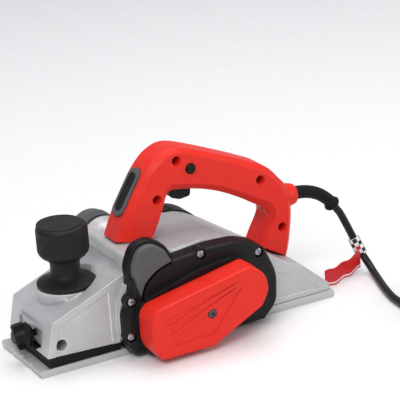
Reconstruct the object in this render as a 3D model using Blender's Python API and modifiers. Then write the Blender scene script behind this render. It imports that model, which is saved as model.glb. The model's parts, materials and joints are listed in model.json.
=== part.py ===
"""Electric hand planer, 82 mm class, modelled as an assembly of separate solids.

Side-view stations are written in millimetres: x runs from the nose of the front shoe to the
tail, z up from the sole, y across the tool (minus is the belt side, plus the motor side).
Meshes are made in metres, with the origin at the centre of the rear shoe's sole.
"""
import math

import bmesh
import bpy
import numpy as np
from mathutils import Matrix, Vector

MM = 0.001
ORIGIN_X = 205.0
GAP = 0.3
ARC_STEP = math.radians(20)
WELD_DISTANCE = 0.000004

# Driving dimensions, in millimetres.
TAIL_X = 290.0
SHOE_HALF = 42.0
BODY_HALF = 41.0
FRONT_SHOE_END = 84.6
FRONT_SHOE_TOP = 6.0
SHOE_LIFT = 2.5
REAR_SHOE_START = 120.0
REAR_SHOE_TOP = 7.0
DRUM = (105.0, 27.5)
DRUM_R = 26.0
CUT_R = 27.4
CHAMBER_R = 29.0
MOTOR = (172.0, 50.0)
MOTOR_BORE_R = 32.5
MOTOR_COVER_R = 36.0
MOTOR_END_Y = 73.0
DUCT = (106.0, 75.5)
DUCT_R = 21.5
KNOB_X = 49.4
BOSS_R = 26.5
BOSS_TOP = 61.0
ROD = (22.1, 24.5)
ROD_HOLE_R = 5.25
FLANGE_Y = -46.0
HOUSING_FRONT_Y = -57.0
COLLAR_FRONT_Y = -62.0
COVER_FRONT_Y = -84.0
BELT_Y = (-63.0, -79.0)
SHAFT_END_Y = -80.4
DRUM_PULLEY_R = 13.0
MOTOR_PULLEY_R = 8.5
BELT_THICK = 2.0
HANDLE_FLAT = 12.0
HANDLE_HALF = 17.5
TRIGGER_PIVOT = (152.0, 132.5)
HANDLE_SCREWS = ((155.2, 153.2), (133.8, 122.2), (236, 117), (255, 68))
SHOE_SCREWS = ((217, 0), (272, 0))
HOUSING_SCREWS = ((84, 52.6), (80.8, 21.5), (152.5, 79.2), (208.5, 67.5))
COVER_SCREW = (145.5, 35.4)
BLADE_TURN = 35
LOCK = (168.0, 143.5)
LOCK_Y = -11.8
BADGE = (113.6, 129.7)
BADGE_LEAN = 33.0
CORD_BOSS = (257, 89.8)
GUARD_R = 6.2
CORD_R = 3.5
COIL_CENTRE = (366.3, -119.0)
COIL_OUTER = 46.0
COIL_INNER = 24.5
COIL_TOP = 21.6
PLUG_SHIFT = 8.0

RED = ((0.78, 0.028, 0.024), 0.42, 0.0)
BLACK = ((0.018, 0.018, 0.02), 0.5, 0.0)
RUBBER = ((0.012, 0.012, 0.013), 0.75, 0.0)
GREY = ((0.09, 0.095, 0.1), 0.5, 0.0)
ALUMINIUM = ((0.62, 0.62, 0.63), 0.38, 0.9)
STEEL = ((0.5, 0.5, 0.52), 0.3, 1.0)
IRON = ((0.2, 0.2, 0.21), 0.5, 0.8)
COPPER = ((0.6, 0.27, 0.12), 0.35, 1.0)

parts = None
cutters = None


def clear_scene():
    for old in list(bpy.data.objects):
        bpy.data.objects.remove(old, do_unlink=True)


def new_collection(name):
    made = bpy.data.collections.new(name)
    bpy.context.scene.collection.children.link(made)
    return made


def at(x, y, z):
    """A station in millimetres as a point in metres."""
    return Vector(((x - ORIGIN_X) * MM, y * MM, z * MM))


def material(name, finish):
    colour, roughness, metallic = finish
    made = bpy.data.materials.new(name)
    made.use_nodes = True
    shader = made.node_tree.nodes["Principled BSDF"]
    shader.inputs["Base Color"].default_value = (*colour, 1)
    shader.inputs["Roughness"].default_value = roughness
    shader.inputs["Metallic"].default_value = metallic
    return made


# ---------------------------------------------------------------- outlines


def rounded(corners, inward=0):
    """Corners (a, b, radius) as a polygon with round stretches where the radius isn't 0.

    The whole outline can be moved inward; its number of points doesn't change with that.
    """
    sharp = inset([corner[:2] for corner in corners], inward)
    points = []
    for i, corner in enumerate(corners):
        here = Vector(sharp[i])
        radius = corner[2] if len(corner) > 2 else 0
        to_last = Vector(sharp[i - 1]) - here
        to_next = Vector(sharp[(i + 1) % len(sharp)]) - here
        half = to_last.angle(to_next) / 2
        if radius == 0 or half > math.radians(88):
            points.append(tuple(here))
            continue
        cross = to_last.x * to_next.y - to_last.y * to_next.x
        bulges = (cross < 0) == (signed_area(sharp) > 0)
        radius = max(0.15, radius - inward if bulges else radius + inward)
        reach = min(radius / math.tan(half), 0.48 * to_last.length, 0.48 * to_next.length)
        radius = reach * math.tan(half)
        middle = here + (to_last.normalized() + to_next.normalized()).normalized() * (
            radius / math.sin(half)
        )
        start = here + to_last.normalized() * reach - middle
        turn = math.pi - 2 * half if cross < 0 else 2 * half - math.pi
        steps = max(1, round(abs(turn) / ARC_STEP))
        for k in range(steps + 1):
            points.append(tuple(middle + Matrix.Rotation(turn * k / steps, 2) @ start))
    return points


def signed_area(points):
    following = points[1:] + points[:1]
    return sum(p[0] * q[1] - q[0] * p[1] for p, q in zip(points, following, strict=True)) / 2


def inset(points, distance):
    """The polygon moved inward by a distance, with mitred corners."""
    side = 1 if signed_area(points) > 0 else -1
    moved = []
    for i, p in enumerate(points):
        here = Vector(p)
        before = (here - Vector(points[i - 1])).normalized()
        after = (Vector(points[(i + 1) % len(points)]) - here).normalized()
        across = Vector((-before.y, before.x)) * side
        normal = (across + Vector((-after.y, after.x)) * side).normalized()
        moved.append(tuple(here + normal * distance / max(0.3, normal.dot(across))))
    return moved


def circle(centre, radius, steps=24):
    return [
        (
            centre[0] + radius * math.cos(2 * math.pi * k / steps),
            centre[1] + radius * math.sin(2 * math.pi * k / steps),
        )
        for k in range(steps)
    ]


def belt_line(extra):
    """The outline round both pulleys, at a distance outside their grooves."""
    (ax, az), (bx, bz) = DRUM, MOTOR
    apart = math.hypot(bx - ax, bz - az)
    heading = math.atan2(bz - az, bx - ax)
    lean = math.acos((DRUM_PULLEY_R - MOTOR_PULLEY_R) / apart)
    points = []
    for centre, radius, start, stop in (
        (DRUM, DRUM_PULLEY_R + extra, heading + lean, heading + 2 * math.pi - lean),
        (MOTOR, MOTOR_PULLEY_R + extra, heading - lean, heading + lean),
    ):
        steps = 10
        for k in range(steps + 1):
            a = start + (stop - start) * k / steps
            points.append((centre[0] + radius * math.cos(a), centre[1] + radius * math.sin(a)))
    return points


# ---------------------------------------------------------------- solids


def keep(name, mesh, finish=None):
    """Adds a mesh as a sub-part with its material, or as a cutter when there is no finish."""
    made = bpy.data.objects.new(name, mesh)
    if finish:
        parts.objects.link(made)
        mesh.materials.append(material(name, finish))
        mesh.shade_smooth()
        mesh.set_sharp_from_angle(angle=math.radians(30))
    else:
        cutters.objects.link(made)
        made.hide_render = True
        made.display_type = "WIRE"
    return made


def finished(name, bm, finish):
    bmesh.ops.remove_doubles(bm, verts=bm.verts, dist=0.000005)
    bmesh.ops.recalc_face_normals(bm, faces=bm.faces)
    mesh = bpy.data.meshes.new(name)
    bm.to_mesh(mesh)
    bm.free()
    return keep(name, mesh, finish)


def from_object(name, source, matrix, finish):
    """Turns a curve or a modified mesh into a plain welded mesh, and removes the source."""
    bpy.context.view_layer.update()
    evaluated = source.evaluated_get(bpy.context.evaluated_depsgraph_get())
    mesh = bpy.data.meshes.new_from_object(evaluated)
    bpy.data.objects.remove(source, do_unlink=True)
    bm = bmesh.new()
    bm.from_mesh(mesh)
    bpy.data.meshes.remove(mesh)
    bm.transform(matrix)
    return finished(name, bm, finish)


def axis_matrix(axis):
    """Turns local +Z to lie along the named axis."""
    turn = {
        "X": Matrix.Rotation(math.pi / 2, 4, "Y"),
        "-X": Matrix.Rotation(-math.pi / 2, 4, "Y"),
        "Y": Matrix.Rotation(-math.pi / 2, 4, "X"),
        "-Y": Matrix.Rotation(math.pi / 2, 4, "X"),
        "Z": Matrix.Identity(4),
    }
    return turn[axis]


def plate(name, outline, low, high, finish=None, along="Y"):
    """A flat outline in side view (x, z), or in plan or front view, made thick along an axis."""
    data = bpy.data.curves.new(name, "CURVE")
    data.dimensions = "2D"
    data.fill_mode = "BOTH"
    data.extrude = abs(high - low) / 2 * MM
    spline = data.splines.new("POLY")
    spline.points.add(len(outline) - 1)
    shift = 0 if along == "X" else ORIGIN_X
    for point, (a, b) in zip(spline.points, outline, strict=True):
        point.co = ((a - shift) * MM, b * MM, 0, 1)
    spline.use_cyclic_u = True
    source = bpy.data.objects.new(name, data)
    bpy.context.scene.collection.objects.link(source)
    middle = (low + high) / 2
    if along == "Y":
        turn = Matrix.Translation((0, middle * MM, 0)) @ Matrix.Rotation(math.pi / 2, 4, "X")
    elif along == "Z":
        turn = Matrix.Translation((0, 0, middle * MM))
    else:
        upright = Matrix(((0, 0, 1, 0), (1, 0, 0, 0), (0, 1, 0, 0), (0, 0, 0, 1)))
        turn = Matrix.Translation(((middle - ORIGIN_X) * MM, 0, 0)) @ upright
    return from_object(name, source, turn, finish)


def block(name, low, high, finish=None):
    low, high = at(*low), at(*high)
    bm = bmesh.new()
    size = high - low
    bmesh.ops.create_cube(bm, matrix=Matrix.Translation((low + high) / 2) @ Matrix.Diagonal((*size, 1)))
    return finished(name, bm, finish)


def loft(name, sections, finish=None):
    """A closed solid through sections (y, outline) with equal numbers of points."""
    bm = bmesh.new()
    rings = [[bm.verts.new(at(x, y, z)) for x, z in outline] for y, outline in sections]
    for ring, following in zip(rings, rings[1:], strict=False):
        for k in range(len(ring)):
            j = (k + 1) % len(ring)
            bm.faces.new((ring[k], ring[j], following[j], following[k]))
    bm.faces.new(rings[0])
    bm.faces.new(rings[-1])
    return finished(name, bm, finish)


def turned(name, profile, origin, axis="Z", finish=None, steps=24, closed=False):
    """A profile (radius, height), top to bottom, turned about an axis through the origin."""
    mesh = bpy.data.meshes.new(name)
    edges = [(i, i + 1) for i in range(len(profile) - 1)]
    if closed:
        edges.append((len(profile) - 1, 0))
    mesh.from_pydata([(r * MM, 0, h * MM) for r, h in profile], edges, [])
    source = bpy.data.objects.new(name, mesh)
    bpy.context.scene.collection.objects.link(source)
    screw = source.modifiers.new("turn", "SCREW")
    screw.steps = steps
    screw.render_steps = steps
    screw.use_merge_vertices = True
    screw.merge_threshold = 0.000005
    matrix = Matrix.Translation(at(*origin)) @ axis_matrix(axis)
    return from_object(name, source, matrix, finish)


def rod(name, radius, start, length, axis, finish=None, steps=20):
    """A plain round bar from a start point along an axis."""
    profile = [(0, length), (radius, length), (radius, 0), (0, 0)]
    return turned(name, profile, start, axis, finish, steps)


def ring(name, outer, inner, start, length, axis, finish=None, steps=24):
    profile = [(inner, length), (outer, length), (outer, 0), (inner, 0)]
    return turned(name, profile, start, axis, finish, steps, closed=True)


def tube(name, points, radius, finish, resolution=2):
    """A round bar along points given in metres."""
    data = bpy.data.curves.new(name, "CURVE")
    data.dimensions = "3D"
    data.bevel_depth = radius * MM
    data.bevel_resolution = resolution
    data.use_fill_caps = True
    spline = data.splines.new("POLY")
    spline.points.add(len(points) - 1)
    for point, co in zip(spline.points, points, strict=True):
        point.co = (*co, 1)
    source = bpy.data.objects.new(name, data)
    bpy.context.scene.collection.objects.link(source)
    return from_object(name, source, Matrix.Identity(4), finish)


def cut(target, *others):
    for other in others:
        step = target.modifiers.new("cut", "BOOLEAN")
        step.operation = "DIFFERENCE"
        step.object = other


def join(target, *others):
    for other in others:
        step = target.modifiers.new("join", "BOOLEAN")
        step.operation = "UNION"
        step.object = other


def weld(made):
    """Merges the doubled points that cuts leave along shared edges."""
    step = made.modifiers.new("weld", "WELD")
    step.merge_threshold = WELD_DISTANCE


def turn_about(made, pivot, axis, degrees):
    """Turns a made mesh about an axis through a station."""
    spin = Matrix.Rotation(math.radians(degrees), 4, axis)
    made.data.transform(Matrix.Translation(at(*pivot)) @ spin @ Matrix.Translation(-at(*pivot)))


def hang_on(made, *origin):
    """Puts an object's origin at a station on its joint's axis, leaving its shape in place."""
    place = at(*origin)
    made.data.transform(Matrix.Translation(-place))
    made.location = place


def smooth_route(stations, spacing):
    """Evenly spaced points in metres on a smooth curve through hand-placed points."""
    p = np.array([tuple(v) for v in stations])
    p = np.vstack([2 * p[0] - p[1], p, 2 * p[-1] - p[-2]])
    fine = []
    for a, b, c, d in zip(p[:-3], p[1:-2], p[2:-1], p[3:], strict=True):
        for t in np.linspace(0, 1, 24, endpoint=False):
            fine.append(
                0.5
                * (2 * b + (c - a) * t + (2 * a - 5 * b + 4 * c - d) * t**2 + (3 * b - a - 3 * c + d) * t**3)
            )
    fine.append(p[-2])
    fine = np.array(fine)
    along = np.concatenate([[0], np.cumsum(np.linalg.norm(np.diff(fine, axis=0), axis=1))])
    wanted = np.linspace(0, along[-1], round(along[-1] / (spacing * MM)) + 1)
    return np.stack([np.interp(wanted, along, fine[:, k]) for k in range(3)], axis=1)


# ---------------------------------------------------------------- shoes and casting


def front_shoe():
    """The adjustable front shoe: a plate with V-grooves and the boss that the stud holds."""
    outline = [(0, 2), (1.5, 0), (FRONT_SHOE_END, 0), (81, FRONT_SHOE_TOP), (1.5, FRONT_SHOE_TOP), (0, 4.5)]
    shoe = plate("front_shoe", outline, -SHOE_HALF, SHOE_HALF, ALUMINIUM)
    join(shoe, rod("shoe_boss", 10, (KNOB_X, 0, 4.7), 9.3, "Z"))
    for y, deep in ((0, 3), (-20, 1.8), (20, 1.8)):
        groove = [(y - deep - 1, -1), (y, deep), (y + deep + 1, -1)]
        cut(shoe, plate("v_groove", groove, -1, FRONT_SHOE_END + 1, along="X"))
    stud_room = [(0, 20), (4.3, 20), (4.3, 3.8), (7.3, 3.8), (7.3, -1), (0, -1)]
    cut(shoe, turned("stud_room", stud_room, (KNOB_X, 0, 0), "Z"))


def shoe_seal():
    """The black rubber skirt between the front shoe and the casting."""
    outline = [(9.3, 6.3), (76, 6.3), (76, 12), (9.3, 15.3)]
    seal = plate("shoe_seal", outline, -40.4, 40.4, RUBBER)
    cut(seal, block("seal_inside", (13.5, -36.5, 5), (72, 36.5, 20)))
    cut(seal, rod("clamp_flange_room", 11.6, (5, 0, ROD[1]), 5.2, "X"))


def body_outline():
    return rounded(
        [
            (8.5, 15.6),
            (15.2, 46, 2),
            (84, 73.6),
            (85.5, 89.5, 5),
            (122, 89.5, 8),
            (131, 84.5, 10),
            (160, 86.5, 20),
            (181, 84.5, 25),
            (200, 74, 30),
            (245, 43.5, 12),
            (258.5, 38.5, 14),
            (285.4, 14.5, 3),
            (286, 7.3),
            (118, 7.3),
            (86, 7.3),
            (84.5, 12.3),
        ]
    )


def wall_outline(inward=0, rear=140):
    """The side wall that carries a drum bearing and shows as a rim before the belt housing."""
    return rounded(
        [
            (88, 7.4),
            (78, 11),
            (74.6, 18, 12),
            (74.6, 44, 22),
            (84, 66, 10),
            (100, 80, 10),
            (122, 80),
            (rear, 60),
            (rear, 7.4),
        ],
        inward,
    )


def chamfer_top_sides(made, width):
    """Breaks the long edges between the casting's top faces and its sides."""
    bm = bmesh.new()
    bm.from_mesh(made.data)
    side = BODY_HALF * MM
    edges = []
    for edge in bm.edges:
        a, b = (v.co for v in edge.verts)
        on_side = abs(abs(a.y) - side) < 1e-5 and abs(a.y - b.y) < 1e-5
        if on_side and min(a.z, b.z) > 15 * MM:
            edges.append(edge)
    bmesh.ops.bevel(bm, geom=edges, offset=width * MM, segments=1, affect="EDGES", clamp_overlap=True)
    bm.to_mesh(made.data)
    bm.free()


def body_casting():
    """The aluminium body: nose, drum chamber, chip duct, motor barrel and tail wedge."""
    body = plate("body_casting", body_outline(), -BODY_HALF, BODY_HALF, ALUMINIUM)
    chamfer_top_sides(body, 4.5)
    join(body, rod("knob_boss", BOSS_R, (KNOB_X, 0, 35), BOSS_TOP - 35, "Z", steps=32))
    join(body, loft("near_wall", [(FLANGE_Y, wall_outline()), (-39.5, wall_outline())]))
    far = wall_outline(rear=134)
    join(body, loft("far_wall", [(39.5, far), (-FLANGE_Y, far)]))
    collar = [(0, 19.5), (15, 19.5), (DUCT_R - 2, 9), (DUCT_R, 0), (0, 0)]
    join(body, turned("near_collar", collar, (DUCT[0], -41.4, DUCT[1]), "Y"))
    join(body, turned("far_collar", collar, (DUCT[0], 41.4, DUCT[1]), "-Y"))
    join(body, rod("near_motor_boss", 13, (MOTOR[0], FLANGE_Y, MOTOR[1]), 9, "Y"))
    visor = [(15, -27), (7.5, -4), (7.5, 4), (15, 27), (20, 27), (20, -27)]
    join(body, plate("nose_visor", visor, 35.3, 38.3, along="Z"))
    pocket = [(-24.4, 34.4), (-24.4, 20.5), (-12, 14), (12, 14), (24.4, 20.5), (24.4, 34.4)]
    cut(body, plate("clamp_pocket", pocket, 0, 15.5, along="X"))
    cut(body, *body_cavities())
    cut(body, *body_bores())
    cut(body, *side_panels())
    cut(body, rod("knob_seat", BOSS_R + GAP, (KNOB_X, 0, BOSS_TOP), 20, "Z", steps=32))
    cut(body, block("step_groove", (80, -33, 78), (84.9, 33, 80.5)))


def body_cavities():
    nose = [(33, 0), (33, 50), (70.6, 50), (70.6, 0)]
    tail = rounded([(212, 5), (212, 55, 6), (243, 36, 4), (262, 26), (262, 5)])
    duct_depth = 2 * 47
    return (
        plate("nose_cavity", nose, -36.5, 36.5),
        plate("tail_cavity", tail, -36.5, 36.5),
        plate("drum_chamber", circle(DRUM, CHAMBER_R, 32), -41.35, 41.35),
        plate("mouth", [(84, 1), (84, 14), (121, 14), (121, 1)], -41.35, 41.35),
        plate("chip_throat", [(90, 44), (94, 72), (118, 72), (114, 44)], -33, 33),
        rod("chip_duct", 12, (DUCT[0], -47, DUCT[1] - 2), duct_depth, "Y", steps=24),
        rod("motor_bore", MOTOR_BORE_R, (MOTOR[0], -37, MOTOR[1]), 90, "Y", steps=32),
    )


def body_bores():
    return (
        rod("guide_rod_hole", ROD_HOLE_R, (ROD[0], -50, ROD[1]), 100, "Y"),
        rod("clamp_hole", 3.4, (12, 0, ROD[1]), 8, "X"),
        rod("stud_bore", 5.5, (KNOB_X, 0, 30), 40, "Z"),
        rod("near_drum_bearing_seat", 13.4, (DRUM[0], -50, DRUM[1]), 12, "Y"),
        rod("far_drum_bearing_seat", 13.4, (DRUM[0], 40, DRUM[1]), 12, "Y"),
        rod("near_motor_bearing_seat", 9.4, (MOTOR[0], -50, MOTOR[1]), 20, "Y"),
        *(rod("shoe_screw_hole", 2.3, (x, y, 5), 9, "Z", steps=12) for x, y in SHOE_SCREWS),
    )


def side_panels():
    """Shallow recessed panels on both flanks of the nose and of the tail."""
    nose = rounded([(14.5, 9), (20.5, 41.5, 3), (69.2, 61), (69.2, 9)])
    tail = rounded([(231, 12), (231, 38), (256, 30, 4), (276, 12)])
    made = []
    for side in (-1, 1):
        low, high = sorted((side * (BODY_HALF - 0.8), side * (BODY_HALF + 1)))
        made.append(plate("nose_panel", nose, low, high))
        made.append(plate("tail_panel", tail, low, high))
    return made


def rear_shoe():
    """The fixed rear shoe, a machined plate that the casting is screwed to."""
    outline = [
        (REAR_SHOE_START + 3.5, 0),
        (TAIL_X - 2, 0),
        (TAIL_X, 1.5),
        (TAIL_X, 5.5),
        (TAIL_X - 2, REAR_SHOE_TOP),
        (130, REAR_SHOE_TOP),
        (REAR_SHOE_START + 4.5, 4),
        (REAR_SHOE_START + 1, 1.5),
    ]
    shoe = plate("rear_shoe", outline, -SHOE_HALF, SHOE_HALF, ALUMINIUM)
    for i, (x, y) in enumerate(SHOE_SCREWS):
        hole = [(0, 10), (2.6, 10), (2.6, 3.2), (4.8, 3.2), (4.8, -1), (0, -1)]
        cut(shoe, turned("shoe_screw_hole", hole, (x, y, 0), "Z", steps=16))
        head = [(0, 11), (1.9, 11), (1.9, 3.2), (2.2, 2.7), (4.4, 2.7), (4.4, 0.6), (0, 0.6)]
        turned(f"shoe_screw_{i + 1}", head, (x, y, 0), "Z", STEEL, 12)


# ---------------------------------------------------------------- depth adjustment


def depth_knob():
    """The fluted knob with its neck and wide skirt, turned about the stud."""
    profile = [
        (0, 116.6),
        (12, 116.3),
        (19.6, 115.2),
        (22, 113),
        (22.6, 109.5),
        (22.6, 93.5),
        (21.5, 89.6),
        (17, 86),
        (13.2, 84),
        (13, 72),
        (15, 69),
        (22, 65.6),
        (26, 63.6),
        (26, 61.3),
        (5.6, 61.3),
        (5.6, 98),
        (0, 98),
    ]
    knob = turned("depth_knob", profile, (KNOB_X, 0, 0), "Z", BLACK, 32)
    hang_on(knob, KNOB_X, 0, 61.3)


def depth_stud():
    """The threaded stud: its head turns in the shoe's recess and its thread lifts the shoe."""
    profile = [(0, 97), (4, 97), (5.2, 96), (5.2, 34), (4, 33), (4, 3.5), (7, 3.5), (7, 1), (0, 1)]
    stud = turned("depth_stud", profile, (KNOB_X, 0, 0), "Z", STEEL, 14)
    hang_on(stud, KNOB_X, 0, 61.3)


def shoe_spring():
    """The coil spring that keeps the shoe pressed down against the stud's head."""
    turns, steps = 4, 10
    low, high, radius = 15.4, 48.6, 7.6
    points = []
    for k in range(turns * steps + 1):
        a = 2 * math.pi * k / steps
        z = low + (high - low) * k / (turns * steps)
        points.append(at(KNOB_X + radius * math.cos(a), radius * math.sin(a), z))
    tube("shoe_spring", points, 1.0, STEEL, resolution=1)


def guide_clamp_bolt():
    """The wing bolt in the nose that clamps an edge guide's rod."""
    z = ROD[1]
    profile = [
        (0, 16.6),
        (2.9, 16.6),
        (2.9, 11.5),
        (7.6, 11.2),
        (9, 9),
        (10.4, 8.2),
        (10.4, 5.6),
        (8, 3.5),
        (6.5, -3),
        (5.5, -5.5),
        (0, -5.5),
    ]
    bolt = turned("guide_clamp_bolt", profile, (0, 0, z), "X", BLACK, 20)
    wing = rounded(
        [(5.5, z + 12.5, 2), (-6.3, z + 11.6, 2), (-3.6, z - 6, 6), (-1.2, z - 12.7, 1.5), (6.5, z - 12, 3)]
    )
    join(bolt, plate("clamp_wing", wing, -2.6, 2.6))
    hang_on(bolt, 0, 0, z)


# ---------------------------------------------------------------- cutter drum


def cutter_drum():
    """The drum with its shaft and the two blade slots."""
    (x, z), r = DRUM, DRUM_R
    profile = [
        (0, 52),
        (4.7, 52),
        (4.7, 44.2),
        (8, 44.2),
        (8, 41),
        (r, 41),
        (r, -41),
        (8, -41),
        (8, -44.2),
        (4.7, -44.2),
        (4.7, SHAFT_END_Y),
        (0, SHAFT_END_Y),
    ]
    drum = turned("cutter_drum", profile, (x, 0, z), "Y", ALUMINIUM, 32)
    hang_on(drum, x, 0, z)
    for i, side in enumerate((-1, 1)):
        pivot = (x, 0, z)
        slot = block("blade_slot", (x - 5.4, -45, z + side * 12.4), (x + 2.2, 45, z + side * 30))
        blade = block(
            f"blade_{i + 1}", (x + 0.3, -40.9, z + side * 15), (x + 1.7, 40.9, z + side * CUT_R), STEEL
        )
        gib = block(
            f"blade_clamp_{i + 1}", (x - 5, -40.5, z + side * 12.8), (x - 0.1, 40.5, z + side * 24.3), IRON
        )
        for made in (slot, blade, gib):
            turn_about(made, pivot, "Y", BLADE_TURN)
        cut(drum, slot)
        hang_on(blade, *pivot)
        hang_on(gib, *pivot)


def bearing(name, centre, y, width, outer, inner):
    """A sealed ball bearing, as the ring that its two races and seals make."""
    ring(name, outer, inner, (centre[0], y, centre[1]), width, "Y", STEEL, 20)


def pulley(name, centre, radius, bore, finish):
    """A pulley with flanges at both sides of its belt track."""
    low, high = BELT_Y[1] - 1.6, BELT_Y[0] + 1.6
    width = high - low
    profile = [
        (bore, width),
        (radius + 1.6, width),
        (radius + 1.6, width - 1.2),
        (radius, width - 1.2),
        (radius, 1.2),
        (radius + 1.6, 1.2),
        (radius + 1.6, 0),
        (bore, 0),
    ]
    made = turned(name, profile, (centre[0], low, centre[1]), "Y", finish, 20, closed=True)
    hang_on(made, centre[0], low, centre[1])


def drive():
    """Bearings, pulleys and belt on the near side."""
    bearing("drum_bearing_near", DRUM, -52, 7.5, 13, 5)
    bearing("drum_bearing_far", DRUM, 44.5, 7.5, 13, 5)
    bearing("motor_bearing_near", MOTOR, -45, 7, 9, 4.3)
    bearing("motor_bearing_far", MOTOR, 58, 7, 9, 4.3)
    pulley("drum_pulley", DRUM, DRUM_PULLEY_R, 5, ALUMINIUM)
    pulley("motor_pulley", MOTOR, MOTOR_PULLEY_R, 4.3, STEEL)
    belt = plate("drive_belt", belt_line(GAP + BELT_THICK), BELT_Y[1], BELT_Y[0], RUBBER)
    cut(belt, plate("belt_inside", belt_line(GAP), BELT_Y[1] - 1, BELT_Y[0] + 1))
    turned(
        "drum_end_cap",
        [(0, 9), (12, 9), (15.5, 7.5), (15.5, 0), (13.4, 0), (13.4, 6.3), (0, 6.3)],
        (DRUM[0], 46.3, DRUM[1]),
        "Y",
        BLACK,
        24,
    )


# ---------------------------------------------------------------- motor


def motor():
    x, z = MOTOR
    shaft = rod("armature_shaft", 4, (x, SHAFT_END_Y, z), 148, "Y", STEEL, 20)
    core = ring("armature_core", 17, 4.3, (x, -8, z), 36, "Y", IRON, 24)
    for k in range(12):
        slot = block("core_slot", (x - 1, -9, z + 14), (x + 1, 29, z + 18))
        turn_about(slot, (x, 0, z), "Y", 30 * k)
        cut(core, slot)
    commutator = ring("commutator", 10, 4.3, (x, 37, z), 13, "Y", COPPER, 24)
    fan_profile = [(4.3, 2), (29, 2), (29, 0), (4.3, 0)]
    fan = turned("cooling_fan", fan_profile, (x, -32, z), "Y", BLACK, 24, closed=True)
    for k in range(9):
        vane = block("fan_vane", (x - 0.8, -30.5, z + 13), (x + 0.8, -22, z + 28))
        turn_about(vane, (x, 0, z), "Y", 40 * k)
        join(fan, vane)
    for made in (shaft, core, commutator, fan):
        hang_on(made, x, 0, z)
    ring("stator_core", 31.8, 18, (x, -10, z), 40, "Y", IRON, 32)
    for place, low in (("near", -16.5), ("far", 30.3)):
        ring(f"field_winding_{place}", 27, 19, (x, low, z), 6.2, "Y", COPPER, 24)
    for i, side in enumerate((-1, 1)):
        z_low, z_high = z + side * 10.4, z + side * 29.5
        low, high = sorted((z_low, z_high))
        holder = block(f"brush_holder_{i + 1}", (x - 5, 39.5, low), (x + 5, 48, high), COPPER)
        inner, outer = (low - 1, high - 2) if side > 0 else (low + 2, high + 1)
        cut(holder, block("brush_way", (x - 3.3, 41, inner), (x + 3.3, 46.4, outer)))


def motor_cover():
    """The black end housing of the motor on the far side, with vents and brush caps."""
    x, z = MOTOR
    r = MOTOR_COVER_R
    length = MOTOR_END_Y - 41.5
    profile = [
        (0, length),
        (r - 12, length),
        (r - 4, length - 3),
        (r, length - 9),
        (r, 0),
        (r - 2.6, 0),
        (r - 2.6, length - 9),
        (r - 6, length - 5.6),
        (r - 13, length - 3),
        (0, length - 3),
    ]
    cover = turned("motor_cover", profile, (x, 41.5, z), "Y", BLACK, 32)
    seat = ring("far_bearing_seat", 12, 9.3, (x, 57.5, z), 14, "Y")
    join(cover, seat)
    for k in range(8):
        vent = block("motor_vent", (x - 2, 66, z + 15), (x + 2, 80, z + 29))
        turn_about(vent, (x, 0, z), "Y", 45 * k + 22.5)
        cut(cover, vent)
    for i, side in enumerate((-1, 1)):
        cut(cover, rod("brush_cap_hole", 7.3, (x, 50, z + side * 25), side * 20, "Z"))
        cap = [(0, 5), (3, 5), (5.5, 4.2), (7, 3.4), (7, 0), (0, 0)]
        base = (x, 50, z + side * (r - 3.4))
        made = turned(f"brush_cap_{i + 1}", cap, base, "Z", BLACK, 16)
        if side < 0:
            turn_about(made, base, "X", 180)


# ---------------------------------------------------------------- belt side


def housing_outline(inward=0):
    return rounded(
        [
            (84, 2.6, 2),
            (75.4, 14, 7),
            (75.4, 41, 12),
            (84, 60, 12),
            (84.5, 74, 4),
            (130, 82, 30),
            (160, 84.6, 60),
            (190, 83.6, 40),
            (214.5, 74, 30),
            (226.8, 44, 40),
            (225, 16, 20),
            (211, 2.6, 3),
        ],
        inward,
    )


def dome_outline(inward=0):
    """The teardrop hood at the end of the chip duct."""
    return rounded(
        [
            (93.4, 50, 1),
            (88.6, 64, 20),
            (86.2, 82, 20),
            (93.5, 98.6, 16),
            (107.5, 100.6, 14),
            (119.5, 92, 14),
            (126, 79.2, 1),
            (110.5, 75, 30),
            (98, 65, 20),
        ],
        inward,
    )


def cover_outline(inward=0):
    return rounded(
        [
            (95.5, 4.6, 1.5),
            (86.5, 17, 22),
            (86.9, 50.8, 12),
            (186, 69.6, 8),
            (200.5, 59, 20),
            (202.8, 43, 14),
            (195, 29.5, 8),
            (145.5, 4.6, 1.5),
        ],
        inward,
    )


def collar_outline(inward=0):
    """The raised part of the housing round the red cover, which swells above it."""
    return rounded(
        [
            (94.5, 3.2, 1.5),
            (86.2, 17, 22),
            (86.6, 51.4, 12),
            (104, 57.5, 20),
            (146, 69.2, 60),
            (176, 72.2, 30),
            (191, 69.5, 14),
            (202.5, 59.5, 20),
            (204.8, 43, 14),
            (197, 28.5, 8),
            (147, 3.2, 1.5),
        ],
        inward,
    )


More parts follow.
